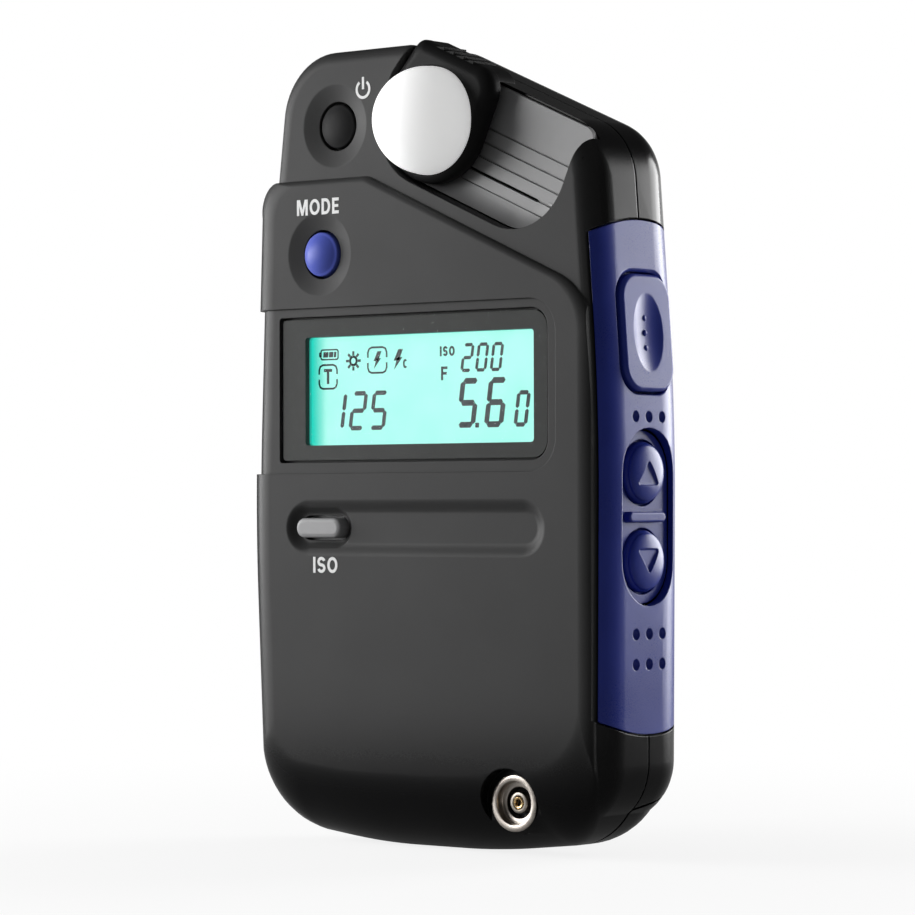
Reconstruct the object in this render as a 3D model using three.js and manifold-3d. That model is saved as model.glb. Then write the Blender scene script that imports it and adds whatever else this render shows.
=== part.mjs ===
// Handheld light meter: a two-part moulded case with a raised front panel, a sliding
// light dome in a sloping track, a clear display window, a blue side grip with its keys,
// a sync socket and the electronics, battery and fasteners inside.
// Millimetres, +Z up, front towards -Y, origin at the middle of the bounding box's foot.

import * as THREE from 'three';
import { mergeVertices } from 'three/addons/utils/BufferGeometryUtils.js';
import Module from 'manifold-3d';

const wasm = await Module();
wasm.setup();

// Clearances and cutters
const gap = 0.3;
const runningGap = 0.35;
const overrun = 1;
const wall = 1.7;
const sideWall = 4.2;
const leastRound = 0.4;

// Case: core, seen from the front, with its sloping shoulder
const caseTop = 109.7;
const coreLeft = 27.4;
const coreRight = 31.25;
const coreFoot = 4.2;
const coreFrontDepth = 10.1;
const caseBackDepth = 11;
const slopeAngle = THREE.MathUtils.degToRad(24);
const slopeBreakX = -2.5;
const slopeBreakRadius = 3;
const headLean = 2.7;
const headRadius = 9.5;
const shoulderLean = 2.1;
const shoulderRadius = 9.8;
const crownShare = 0.547;
const crownHeight = caseTop * crownShare;
const crownRadius = 300;
const heelLean = 0.5;
const coreHeelRadius = 8.6;
const coreToeRadius = 6;

// Case: raised panel that wraps the left side and the foot
const panelLeft = 32.5;
const panelRight = 29.4;
const panelTopShare = 0.8386;
const panelTop = caseTop * panelTopShare;
const panelFrontDepth = 11;
const panelBreakX = -9.1;
const panelBreakRadius = 3;
const panelShoulderRadius = 9;
const panelHeadRadius = 5;
const panelHeadLean = 1.6;
const panelCrownShare = 0.42;
const panelCrownHeight = caseTop * panelCrownShare;
const panelFootLean = 1.9;
const footMiddle = -3;
const footLeftRise = 2.1;
const footRightRise = 2.4;
const footFlatHalf = 10;
const footFlatRadius = 100;
const panelToeRadius = 11;
const panelHeelRadius = 11;

// Edge roundings: how far each reaches in from the outline, and how deep from the face
const coreFootRound = { inset: 5, depth: 5 };
const coreSideRound = { inset: 3, depth: 5 };
const coreTopRound = { inset: 2, depth: 2 };
const coreLeftRound = { inset: 3.2, depth: 3 };
const panelFootRound = { inset: 10.6, depth: 10 };
const panelSideRound = { inset: 2, depth: 1.1 };
const panelStepRound = { inset: 1, depth: 0.9 };
const panelLeftRound = { inset: 5.5, depth: 5.5 };
const backFootRound = { inset: 8, depth: 9 };
const backHeelRound = { inset: 7, depth: 8 };
const backSideRound = { inset: 8, depth: 8 };
const backTopRound = { inset: 5, depth: 7 };
const backLeftRound = { inset: 6, depth: 6 };

// Side grip and the recess that it fills
const gripThickness = 1.9;
const gripTopShare = 0.7712;
const gripTopHeight = caseTop * gripTopShare;
const gripFootShare = 0.1513;
const gripFootHeight = caseTop * gripFootShare;
const gripEndDrop = 2.8;
const gripReach = 1.4;
const dimpleRadius = 0.75;
const dimpleDepth = 0.45;
const dimplePitch = 2.9;
const dimpleDrop = 9.6;
const dimpleRowPitch = 4;

// Light dome, slider and track; places are along and across the slope from the dome's axis
const domeX = 1.6;
const domeShare = 0.9016;
const domeHeight = caseTop * domeShare;
const domeRadius = 7.35;
const domeWall = 1.1;
const domeSkirt = 0.8;
const domeSeatDepth = 0.4;
const sliderHalfWidth = 8.5;
const sliderTravel = 16.15;
const sliderThickness = 3.6;
const sliderProud = 0.1;
const sliderLift = 1.2;
const lightTunnelRadius = 3.4;
const tabBackDepth = 2.2;
const tabLeftRun = 4.2;
const tabRightRun = 2;
const toothCount = 4;
const toothPitch = 1.85;
const toothHeight = 0.6;
const bladeHalfLength = 2.6;
const bladeThickness = 0.6;
const bladeDrop = 4.1;
const keeperHalfLength = 5;
const keeperThickness = 1.2;
const keeperDepth = 2.4;
const slidePlateThickness = 0.8;
const grooveCount = 3;
const groovePitch = 2;
const grooveTop = 1.9;
const grooveWidth = 0.35;
const grooveDepth = 0.3;
const trackFloorWall = 1.1;
const trackSideWall = 1.2;

// Light sensor behind the track
const sensorWindowRadius = 3.2;
const sensorWindowThickness = 1;
const photodiodeSide = 3.6;
const photodiodeThickness = 1.2;

// Round front keys and their dishes
const powerKeyX = -15.3;
const powerKeyShare = 0.9052;
const powerKeyHeight = caseTop * powerKeyShare;
const modeKeyX = -17.4;
const modeKeyRise = 11.4;
const roundKeyRadius = 3.05;
const keyDishRadius = 5.5;
const keyDishFloorRadius = 4;
const keyDishDepth = 1;
const powerKeyProud = 0.35;
const modeKeyProud = 1.4;
const keyCrown = 0.7;
const keyFlange = 0.7;
const keyFlangeThickness = 0.8;
const keyStemRadius = 1.5;

// Oblong key in its long channel
const isoKeyX = -17.5;
const isoKeyDrop = 11.4;
const isoKeyHalfLength = 4.05;
const isoKeyHalfWidth = 1.35;
const isoKeyProud = 1;
const channelLeft = -22.4;
const channelRight = 21.2;
const channelHalfWidth = 2.95;
const channelDepth = 0.7;
const channelSlope = 0.5;

// Display window, its recessed band, and the display behind it
const viewShare = 0.5716;
const viewMiddle = caseTop * viewShare;
const viewHalfHeight = 7.5;
const viewTop = viewMiddle + viewHalfHeight;
const viewFoot = viewMiddle - viewHalfHeight;
const modeKeyHeight = viewTop + modeKeyRise;
const isoKeyHeight = viewFoot - isoKeyDrop;
const viewLeft = -21.3;
const viewRight = 19.1;
const windowHeadRim = 2.5;
const windowSill = 2.1;
const windowTop = viewTop + windowHeadRim;
const windowFoot = viewFoot - windowSill;
const windowLeft = -24.9;
const windowRight = 22;
const windowRadius = 2.4;
const windowCornerRadius = 0.6;
const bandHeadRim = 1.5;
const bandSill = 1.8;
const bandTop = windowTop + bandHeadRim;
const bandFoot = windowFoot - bandSill;
const bandRight = 23.9;
const bandRadius = 4.5;
const bandDepth = 0.45;
const bandSideDepth = 0.8;
const windowThickness = 1.2;
const displayMargin = 1.2;
const displayThickness = 1.8;
const backlightThickness = 1.8;
const connectorWidth = 1.4;
const frameRim = 1.2;

// Circuit boards
const boardFront = 2.2;
const boardThickness = 1;
const boardRise = 3.05;
const boardMargin = 1.6;
const switchSide = 4.4;
const switchThickness = 1.6;
const switchPlungerRadius = 1.1;
const switchPlungerHeight = 0.9;
const keyTravel = 0.5;
const chipThickness = 1.4;
const processorX = 2;
const processorHalf = 5;
const analogX = -12;
const analogHalfWidth = 2.5;
const analogHalfHeight = 3.5;
const driverX = -12;
const driverHalfWidth = 3.5;
const driverHalfHeight = 2.5;
const crystalX = 12;
const crystalHalfWidth = 1.5;
const crystalHalfHeight = 3.5;
const coilX = -8;
const coilRadius = 4;
const coilHeight = 3;
const capacitorX = 6;
const capacitorRadius = 3.2;
const capacitorHeight = 5.4;
const sideBoardX = 23.4;
const sideBoardThickness = 0.8;
const sideSwitchThickness = 1.4;
const sidePlungerHeight = 0.6;
const sideBoardFootReach = 3.4;
const sideBoardTopReach = 8.4;
const sideBoardHalfWidth = 5;

// Side keys
const measureKeyShare = 0.6345;
const measureKeyHeight = caseTop * measureKeyShare;
const measureKeyHalfHeight = 7.8;
const measureKeyHalfWidth = 5.4;
const measureKeyRadius = 3.4;
const measureKeyProud = 0.5;
const measureDishHalfHeight = 5.4;
const measureDishHalfWidth = 3.3;
const measureDishDepth = 0.7;
const measurePipPitch = 2;
const measurePipRadius = 0.4;
const upKeyShare = 0.4658;
const upKeyHeight = caseTop * upKeyShare;
const downKeyShare = 0.3592;
const downKeyHeight = caseTop * downKeyShare;
const arrowKeyRadius = 4.1;
const arrowKeyCrown = 1;
const arrowSize = 2;
const arrowDepth = 0.3;
const keySlotHalfWidth = 5.6;
const keySeatDepth = 1.15;
const sideFlangeThickness = 0.5;
const flangeGap = 0.1;
const bridgePlateThickness = 0.7;
const bridgeHalfHeight = 0.7;
const bridgeHalfLength = 4;
const bridgeProud = 0.5;

// Sync socket
const socketX = 15.4;
const socketHeight = 7.3;
const socketRecessRadius = 4.7;
const socketFace = 9;
const socketFlangeRadius = 3.8;
const socketRimRadius = 3.2;
const socketStepRadius = 2.95;
const socketBoreRadius = 2.15;
const socketCupDepth = 1.4;
const socketBarrelRadius = 3.1;
const socketLength = 6.2;
const socketContactRadius = 1.45;
const socketContactBore = 0.45;
const socketNutRadius = 3.9;
const socketNutThickness = 1.4;

// Battery, its tray and contacts
const batteryRadius = 7.25;
const batteryBody = 49.5;
const batteryNub = 1;
const batteryNubRadius = 2.75;
const batteryLeft = -25.4;
const batteryDepth = 1.7;
const batteryHeight = 20.4;
const trayWall = 0.9;
const trayClearance = 0.3;
const trayBack = 5;
const trayRadius = 3;
const springRoom = 2.2;
const contactSize = 7;
const contactThickness = 0.4;
const springWire = 0.25;
const springTurns = 2.5;
const springFootRadius = 4.2;
const springHeadRadius = 2.6;

// Battery door
const doorLeft = -27.5;
const doorRight = 26;
const creaseFront = 6.3;
const creaseBack = 8.6;
const bayDepth = 4.5;
const bayBorder = 2.4;
const doorTop = 31;
const doorDepth = 3;
const doorRadius = 2.5;
const doorGripCount = 4;
const doorGripPitch = 1.6;
const doorGripHalfLength = 7;
const doorGripWidth = 0.7;
const doorGripDepth = 0.4;
const doorRailThickness = 0.8;
const doorRailWidth = 1;

// Fasteners and the strap pin
const bossWall = 1.1;
const screwHeadRadius = 1.9;
const screwHeadThickness = 1.2;
const screwShankRadius = 0.95;
const screwHoleGap = 0.15;
const screwLength = 12;
const screwHeadSink = 2.2;
const screwDriveRadius = 0.7;
const screwDriveDepth = 0.6;
const headLeftScrewX = -22.3;
const headLeftScrewShare = 0.815;
const headRightScrewX = 18.6;
const headRightScrewRise = 10.8;
const footLeftScrewX = -26.2;
const footLeftScrewRise = 6;
const footRightScrewX = 17;
const footRightScrewRise = 4;
const screwPlaces = [
  { name: 'case_screw_head_left', x: headLeftScrewX, z: caseTop * headLeftScrewShare },
  { name: 'case_screw_head_right', x: headRightScrewX, z: viewTop + headRightScrewRise },
  { name: 'case_screw_foot_left', x: footLeftScrewX, z: doorTop + footLeftScrewRise },
  { name: 'case_screw_foot_right', x: footRightScrewX, z: doorTop + footRightScrewRise },
];
const strapPinRadius = 0.8;
const strapPinDepth = 5.2;
const strapPinInset = 1.1;
const strapPocketRadius = 3;
const strapPocketShare = 0.8933;
const strapPocketHeight = caseTop * strapPocketShare;
const strapPocketHalf = 3;
const strapPinSeat = 1.4;

// Counts of steps on round forms
const roundSteps = 20;
const fineSteps = 28;
const smallSteps = 12;
const edgeSteps = 4;

const finishes = {
  shell: { color: 0x2c2c30, roughness: 0.62, metalness: 0 },
  blackPlastic: { color: 0x151517, roughness: 0.45, metalness: 0 },
  gripBlue: { color: 0x2a2f92, roughness: 0.5, metalness: 0 },
  keyBlue: { color: 0x4348a8, roughness: 0.45, metalness: 0 },
  keyGrey: { color: 0x9a9a9c, roughness: 0.5, metalness: 0 },
  opal: { color: 0xf2f2ee, roughness: 0.55, metalness: 0 },
  clear: { color: 0x20262a, roughness: 0.05, metalness: 0 },
  satinGrey: { color: 0x808285, roughness: 0.5, metalness: 0 },
  display: { color: 0xa6f2e4, roughness: 0.2, metalness: 0 },
  board: { color: 0x1d5b3a, roughness: 0.5, metalness: 0 },
  chip: { color: 0x101012, roughness: 0.6, metalness: 0 },
  rubber: { color: 0x3a3a3d, roughness: 0.85, metalness: 0 },
  nickel: { color: 0xc9c5bb, roughness: 0.25, metalness: 1 },
  brass: { color: 0xc79a4a, roughness: 0.3, metalness: 1 },
  darkSteel: { color: 0x3b3c40, roughness: 0.4, metalness: 1 },
  sleeve: { color: 0x9aa0a8, roughness: 0.35, metalness: 0.6 },
};

// Turns a closed three.js geometry into a solid that can be joined and cut
function solid(geometry) {
  const bare = geometry.clone();
  bare.deleteAttribute('normal');
  bare.deleteAttribute('uv');
  const welded = mergeVertices(bare);
  const points = welded.attributes.position.array;
  const corner = (index) => new THREE.Vector3().fromArray(points, index * 3);
  const triangles = [];
  let volume = 0;
  for (let first = 0; first < welded.index.count; first += 3) {
    const [a, b, c] = [0, 1, 2].map((step) => welded.index.getX(first + step));
    if (a !== b && b !== c && c !== a) {
      triangles.push([a, b, c]);
      volume += corner(a).dot(corner(b).cross(corner(c)));
    }
  }
  const outward = volume < 0 ? triangles.map((triangle) => triangle.reverse()) : triangles;
  return new wasm.Manifold(new wasm.Mesh({
    numProp: 3,
    vertProperties: Float32Array.from(points),
    triVerts: Uint32Array.from(outward.flat()),
  }));
}

function joined(...solids) {
  return solids.reduce((whole, piece) => whole.add(piece));
}

function cut(body, ...tools) {
  return tools.reduce((rest, tool) => rest.subtract(tool), body);
}

// A mesh for a finished solid
function piece(name, body, finish) {
  const { vertProperties, triVerts } = body.getMesh();
  const geometry = new THREE.BufferGeometry();
  geometry.setAttribute('position', new THREE.BufferAttribute(vertProperties, 3));
  geometry.setIndex(new THREE.BufferAttribute(triVerts, 1));
  geometry.computeVertexNormals();
  const mesh = new THREE.Mesh(geometry, new THREE.MeshStandardMaterial(finish));
  mesh.name = name;
  return mesh;
}

// One rounded corner of an outline that runs anticlockwise
function cornerArc(before, here, after, radius, steps) {
  const into = here.clone().sub(before).normalize();
  const out = after.clone().sub(here).normalize();
  const turn = Math.atan2(into.cross(out), into.dot(out));
  const reach = radius * Math.tan(Math.abs(turn) / 2);
  const start = here.clone().addScaledVector(into, -reach);
  const side = new THREE.Vector2(-into.y, into.x).multiplyScalar(radius * Math.sign(turn));
  const centre = start.clone().add(side);
  const arcPoint = (_, step) => start.clone().rotateAround(centre, (turn * step) / steps);
  return radius > 0 ? Array.from({ length: steps + 1 }, arcPoint) : [here];
}

function roundedPolygon(corners, radius, steps = edgeSteps) {
  const at = (index) => corners[(index + corners.length) % corners.length];
  return corners.flatMap((here, index) => cornerArc(at(index - 1), here, at(index + 1), radius, steps));
}

// A rounded oblong given by its sides in the plane that is drawn on
function oblong(left, right, foot, top, radius, steps = edgeSteps) {
  const corners = [[left, foot], [right, foot], [right, top], [left, top]];
  return roundedPolygon(corners.map(([x, y]) => new THREE.Vector2(x, y)), radius, steps);
}

function polygon(...corners) {
  return corners.map(([x, y]) => new THREE.Vector2(x, y));
}

function extruded(outline, depth) {
  return new THREE.ExtrudeGeometry(new THREE.Shape(outline), { depth, bevelEnabled: false });
}

// A plate seen from the front, between two places along Y
function frontPlate(outline, front, back) {
  return extruded(outline, back - front).rotateX(Math.PI / 2).translate(0, back, 0);
}

// A plate seen from the side, between two places along X
function sidePlate(outline, left, right) {
  const turn = new THREE.Matrix4().makeBasis(
    new THREE.Vector3(0, 1, 0),
    new THREE.Vector3(0, 0, 1),
    new THREE.Vector3(1, 0, 0),
  );
  return extruded(outline, right - left).applyMatrix4(turn).translate(left, 0, 0);
}

// A round form from pairs of radius and height above its foot
function turned(profile, steps = roundSteps) {
  return new THREE.LatheGeometry(profile.map(([radius, height]) => new THREE.Vector2(radius, height)), steps);
}

function disc(radius, from, to, steps = roundSteps) {
  return turned([[0, from], [radius, from], [radius, to], [0, to]], steps);
}

function ring(inner, outer, from, to, steps = roundSteps) {
  return turned([[inner, from], [outer, from], [outer, to], [inner, to], [inner, from]], steps);
}

// A stretch of an ellipse from the rim of a crown to its middle
function crownArc(radius, foot, rise, steps = edgeSteps) {
  return Array.from({ length: steps + 1 }, (_, step) => {
    const angle = (Math.PI / 2) * (step / steps);
    return [step === steps ? 0 : radius * Math.cos(angle), foot + rise * Math.sin(angle)];
  });
}

// Round forms that face the front; heights run towards the front from the seam plane
function facingFront(geometry, x, z) {
  return geometry.rotateZ(Math.PI).translate(x, 0, z);
}

// Round forms that face the right side; heights run to the right from the middle plane
function facingRight(geometry) {
  return geometry.rotateZ(-Math.PI / 2);
}

// Forms drawn along and across the slope, from the axis of the dome
function onSlope(geometry) {
  return geometry.rotateY(slopeAngle).translate(domeX, 0, domeHeight);
}

// A skin over a stack of rings with equal numbers of points, front ring first
function loft(rings) {
  const count = rings[0].length;
  const positions = rings.flat().flatMap((point) => point.toArray());
  const index = [];
  rings.slice(1).forEach((_, layer) => {
    for (let step = 0; step < count; step += 1) {
      const a = layer * count + step;
      const b = layer * count + ((step + 1) % count);
      index.push(a, a + count, b + count, a, b + count, b);
    }
  });
  const flat = (points) => points.map((point) => new THREE.Vector2(point.x, point.z));
  const last = (rings.length - 1) * count;
  THREE.ShapeUtils.triangulateShape(flat(rings[0]), []).forEach(([a, b, c]) => index.push(a, b, c));
  THREE.ShapeUtils.triangulateShape(flat(rings.at(-1)), []).forEach(([a, b, c]) => {
    index.push(last + a, last + c, last + b);
  });
  const geometry = new THREE.BufferGeometry();
  geometry.setAttribute('position', new THREE.Float32BufferAttribute(positions, 3));
  geometry.setIndex(index);
  return geometry;
}

// Corners of the core, anticlockwise from the toe; each also describes the edge that follows it
const headX = coreRight - headLean;
const headHeight = caseTop - (headX - slopeBreakX) * Math.tan(slopeAngle);
const coreEdges = {
  foot: { front: coreFootRound, back: backHeelRound, skin: wall },
  right: { front: coreSideRound, back: backSideRound, skin: sideWall },
  top: { front: coreTopRound, back: backTopRound, skin: wall },
  left: { front: coreLeftRound, back: backLeftRound, skin: wall },
};
const coreCorners = [
  { x: -coreLeft, z: coreFoot, radius: coreToeRadius, steps: 4, edge: coreEdges.foot },
  { x: coreRight - heelLean, z: coreFoot, radius: coreHeelRadius, steps: 6, edge: coreEdges.right },
  { x: coreRight, z: crownHeight, radius: crownRadius, steps: 2, edge: coreEdges.right },
  { x: headX, z: headHeight, radius: headRadius, steps: 6, edge: coreEdges.top },
  { x: slopeBreakX, z: caseTop, radius: slopeBreakRadius, steps: 2, edge: coreEdges.top },
  { x: -coreLeft + shoulderLean, z: caseTop, radius: shoulderRadius, steps: 6, edge: coreEdges.left },
  { x: -coreLeft, z: panelTop, radius: leastRound, steps: 1, edge: coreEdges.left },
];

// Corners of the raised panel, in the same order
const panelEdges = {
  foot: { front: panelFootRound, back: backFootRound, skin: wall },
  right: { front: panelSideRound, back: backSideRound, skin: sideWall },
  step: { front: panelStepRound, back: backLeftRound, skin: wall },
  left: { front: panelLeftRound, back: backLeftRound, skin: wall },
};
const panelShoulderHeight = panelTop - (panelRight - panelBreakX) * Math.tan(slopeAngle);
const panelCorners = [
  { x: -panelLeft + panelFootLean, z: footLeftRise, radius: panelToeRadius, steps: 6, edge: panelEdges.foot },
  { x: footMiddle - footFlatHalf, z: 0, radius: footFlatRadius, steps: 2, edge: panelEdges.foot },
  { x: footMiddle + footFlatHalf, z: 0, radius: footFlatRadius, steps: 2, edge: panelEdges.foot },
  { x: panelRight, z: footRightRise, radius: panelHeelRadius, steps: 6, edge: panelEdges.right },
  { x: panelRight, z: panelShoulderHeight, radius: panelShoulderRadius, steps: 6, edge: panelEdges.step },
  { x: panelBreakX, z: panelTop, radius: panelBreakRadius, steps: 2, edge: panelEdges.step },
  { x: -panelLeft + panelHeadLean, z: panelTop, radius: panelHeadRadius, steps: 4, edge: panelEdges.left },
  { x: -panelLeft, z: panelCrownHeight, radius: crownRadius, steps: 2, edge: panelEdges.left },
];

// Where two edges meet once each has moved in by its own amount
function shiftedCorner(before, here, after, shiftBefore, shiftAfter) {
  const into = here.clone().sub(before).normalize();
  const out = after.clone().sub(here).normalize();
  const turn = into.cross(out);
  const along = (shiftAfter - shiftBefore * into.dot(out)) / turn;
  const inward = new THREE.Vector2(-into.y, into.x);
  return here.clone().addScaledVector(inward, shiftBefore).addScaledVector(into, -along);
}

// One ring of a case body: share 0 at the sides, 1 at the face; skin moves all edges in
function caseRing(corners, face, towards, side, angle, skinOf, faceSkin) {
  const places = corners.map(({ x, z }) => new THREE.Vector2(x, z));
  const at = (list, index) => list[(index + list.length) % list.length];
  const lessSkin = (size, skin) => Math.max(size - skin, leastRound);
  const shifts = corners.map(({ edge }) => {
    const skin = skinOf(edge);
    return skin + lessSkin(edge[side].inset, skin) * (1 - Math.cos(angle));
  });
  const depths = corners.map(({ edge }) => lessSkin(edge[side].depth, faceSkin) * (1 - Math.sin(angle)));
  const moved = places.map((here, index) => shiftedCorner(
    at(places, index - 1), here, at(places, index + 1), at(shifts, index - 1), shifts[index],
  ));
  return corners.flatMap(({ radius, steps }, index) => {
    const left = Math.max(radius - Math.min(at(shifts, index - 1), shifts[index]), leastRound);
    const arc = cornerArc(at(moved, index - 1), moved[index], at(moved, index + 1), left, steps);
    return arc.map((point, step) => {
      const depth = THREE.MathUtils.lerp(at(depths, index - 1), depths[index], step / steps);
      return new THREE.Vector3(point.x, face + towards * (faceSkin + depth), point.y);
    });
  });
}

// A body with rounded edges at its front and its back
function caseBody(corners, front, back, skinOf = () => 0, faceSkin = 0) {
  const angles = Array.from({ length: edgeSteps + 1 }, (_, step) => (Math.PI / 2) * (1 - step / edgeSteps));
  const frontRings = angles.map((angle) => caseRing(corners, front, 1, 'front', angle, skinOf, faceSkin));
  const backRings = angles.map((angle) => caseRing(corners, back, -1, 'back', angle, skinOf, faceSkin));
  return solid(loft([...frontRings, ...backRings.reverse()]));
}

const coreFront = -coreFrontDepth;
const panelFront = -panelFrontDepth;
const cavityFront = coreFront + wall;
const boardFace = -boardFront;
const coreBody = caseBody(coreCorners, coreFront, caseBackDepth);
const outerBody = joined(coreBody, caseBody(panelCorners, panelFront, caseBackDepth));
const cavity = joined(
  caseBody(coreCorners, coreFront, caseBackDepth, (edge) => edge.skin, wall),
  caseBody(panelCorners, coreFront, caseBackDepth, (edge) => edge.skin, wall),
);

// Heights and depths that follow from the dimensions above
const slopeBreakRise = (caseTop - domeHeight) * Math.cos(slopeAngle);
const slopeRise = slopeBreakRise + (slopeBreakX - domeX) * Math.sin(slopeAngle);
const sliderFront = coreFront - sliderProud;
const sliderBack = sliderFront + sliderThickness;
const plateFront = sliderBack + runningGap;
const trackFloor = plateFront + slidePlateThickness;
const floorBack = trackFloor + trackFloorWall;
const keeperFront = floorBack + runningGap;
const powerKeyFace = coreFrontDepth + powerKeyProud;
const modeKeyFace = panelFrontDepth + modeKeyProud;
const plungerFace = boardFace - switchThickness - switchPlungerHeight;
const stemEnd = plungerFace - keyTravel - screwHoleGap;
const windowFace = panelFront + bandDepth;
const windowBack = windowFace + windowThickness;
const displayFace = cavityFront + screwHoleGap;
const displayBack = displayFace + displayThickness;
const sideLean = Math.atan2(headLean, headHeight - crownHeight);
const sideX = (height) => coreRight - Math.max(height - crownHeight, 0) * Math.tan(sideLean);
const sideTurn = (height) => (height > crownHeight ? sideLean : 0);
const sidePlunger = sideBoardX + sideBoardThickness + sideSwitchThickness + sidePlungerHeight;
const bayTop = batteryHeight + batteryRadius + trayClearance;
const bayFoot = batteryHeight - batteryRadius - trayClearance;
const boardFoot = bayTop + boardRise;
const sideBoardFoot = downKeyHeight - sideBoardFootReach;
const sideBoardTop = measureKeyHeight + sideBoardTopReach;
const batteryRight = batteryLeft + batteryBody + batteryNub;
const trayLeft = batteryLeft - springRoom;
const trayRight = batteryRight + contactThickness;

// Forms drawn in the plane of the right side, at a key's height; +X is outward there
function onSide(geometry, height) {
  return geometry.rotateY(-sideTurn(height)).translate(sideX(height), 0, height);
}

function upright(halfWidth, halfHeight, radius, steps = edgeSteps) {
  return oblong(-halfWidth, halfWidth, -halfHeight, halfHeight, radius, steps);
}

// The U-shaped outline of slider and track, round below and open at the slope
function sliderOutline(left, right, radius, top, topRadius) {
  const corners = [[left, -radius], [right, -radius], [right, top], [left, top]];
  const places = corners.map(([x, y]) => new THREE.Vector2(x, y));
  const at = (index) => places[(index + places.length) % places.length];
  const radii = [radius, radius, topRadius, topRadius];
  const steps = [edgeSteps * 2, edgeSteps * 2, edgeSteps, edgeSteps];
  return places.flatMap((here, index) => (
    cornerArc(at(index - 1), here, at(index + 1), radii[index], steps[index])
  ));
}

function trackOutline(spread) {
  const reach = sliderHalfWidth + runningGap + spread;
  return sliderOutline(-reach, reach + sliderTravel, reach, slopeRise + bandTop - bandFoot, 0);
}

// The band of the side that the grip covers, seen from the side, with bowed ends
function gripOutline(spread) {
  const middle = (caseBackDepth + coreFront) / 2;
  const half = caseBackDepth - middle + overrun;
  const end = (height, towards) => Array.from({ length: edgeSteps * 2 + 1 }, (_, step) => {
    const share = -1 + step / edgeSteps;
    const z = height + towards * (spread - gripEndDrop * share * share);
    return new THREE.Vector2(middle - towards * share * half, z);
  });
  return [...end(gripFootHeight, -1), ...end(gripTopHeight, 1)];
}

function gripZone(thickness, spread) {
  const reach = (edge) => (edge.skin === sideWall ? gripReach + spread : 0);
  const inner = caseBody(coreCorners, coreFront, caseBackDepth, () => thickness, thickness);
  const beside = solid(loft([coreFront - overrun, caseBackDepth + overrun].map((y) => (
    caseRing(coreCorners, y, 1, 'front', 0, reach, 0).map((point) => new THREE.Vector3(point.x, y, point.z))
  ))));
  const zone = solid(sidePlate(gripOutline(spread), coreRight / 2, coreRight + overrun));
  return cut(zone, beside, inner);
}

// Battery door: a plate on the back and the rear half of the foot below the crease
function creaseZone(spread) {
  const back = caseBackDepth + overrun;
  const slant = (creaseBack - creaseFront) / caseBackDepth;
  const foot = -overrun;
  const top = (y) => creaseFront + slant * y + spread;
  const outline = polygon([gap - spread, foot], [back, foot], [back, top(back)], [gap - spread, top(gap)]);
  return solid(sidePlate(outline, -panelLeft - overrun, coreRight + overrun));
}

function doorPlate(spread) {
  const front = caseBackDepth - doorDepth - spread;
  const outline = oblong(doorLeft - spread, doorRight + spread, creaseFront, doorTop + spread, doorRadius);
  return solid(frontPlate(outline, front, caseBackDepth + overrun));
}

function doorRails(spread) {
  const front = caseBackDepth - doorDepth + gap - spread;
  const outline = oblong(
    doorLeft - doorRailWidth - spread,
    doorRight + doorRailWidth + spread,
    creaseBack - doorRailWidth,
    doorTop - doorRadius + spread,
    leastRound,
    1,
  );
  return solid(frontPlate(outline, front, front + doorRailThickness + spread * 2));
}

function buildBatteryDoor() {
  const hollow = solid(frontPlate(
    oblong(batteryLeft - gap, batteryRight + gap, bayFoot, doorTop + overrun, 0),
    0,
    batteryDepth + batteryRadius + gap,
  ));
  const inner = caseBody(panelCorners, coreFront, caseBackDepth, () => wall, wall);
  const footShell = cut(creaseZone(0), inner);
  const grips = Array.from({ length: doorGripCount }, (_, index) => {
    const z = doorTop - doorRadius - doorGripPitch * (index + 1);
    const groove = oblong(
      -doorGripHalfLength,
      doorGripHalfLength,
      z - doorGripWidth / 2,
      z + doorGripWidth / 2,
      doorGripWidth / 2,
      2,
    );
    return solid(frontPlate(groove, caseBackDepth - doorGripDepth, caseBackDepth + overrun));
  });
  const body = joined(doorPlate(0), doorRails(0), footShell);
  return piece('battery_door', cut(body.intersect(outerBody), hollow, ...grips), finishes.shell);
}

// Case halves

function keyHole(x, z) {
  const face = coreFrontDepth;
  return solid(facingFront(disc(roundKeyRadius + runningGap, boardFront, face + overrun), x, z));
}

// A round dish round a key, cut from a face at the given depth
function keyDish(x, z, faceDepth) {
  const foot = faceDepth - keyDishDepth;
  const slope = (keyDishRadius - keyDishFloorRadius) / keyDishDepth;
  const profile = [
    [0, foot],
    [keyDishFloorRadius, foot],
    [keyDishRadius + slope * overrun, faceDepth + overrun],
    [0, faceDepth + overrun],
  ];
  return solid(facingFront(turned(profile, fineSteps), x, z));
}

function trackPocket() {
  return solid(onSlope(frontPlate(trackOutline(0), panelFront - overrun, trackFloor)));
}

function bladeSlot(front, back) {
  const reach = bladeHalfLength + runningGap;
  const half = bladeThickness / 2 + runningGap;
  const outline = oblong(-reach, reach + sliderTravel, -bladeDrop - half, -bladeDrop + half, half, 2);
  return solid(onSlope(frontPlate(outline, front, back)));
}

function sensorBore(radius, front, back) {
  return solid(facingFront(disc(radius, -back, -front), domeX, domeHeight));
}

function channelCut() {
  const face = panelFront;
  const rings = [face - overrun, face + channelDepth].map((y) => {
    const grow = y < face ? channelSlope : 0;
    const outline = oblong(
      channelLeft - grow,
      channelRight + grow,
      isoKeyHeight - channelHalfWidth - grow,
      isoKeyHeight + channelHalfWidth + grow,
      channelHalfWidth + grow,
    );
    return outline.map((point) => new THREE.Vector3(point.x, y, point.y));
  });
  return solid(loft(rings));
}

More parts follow.
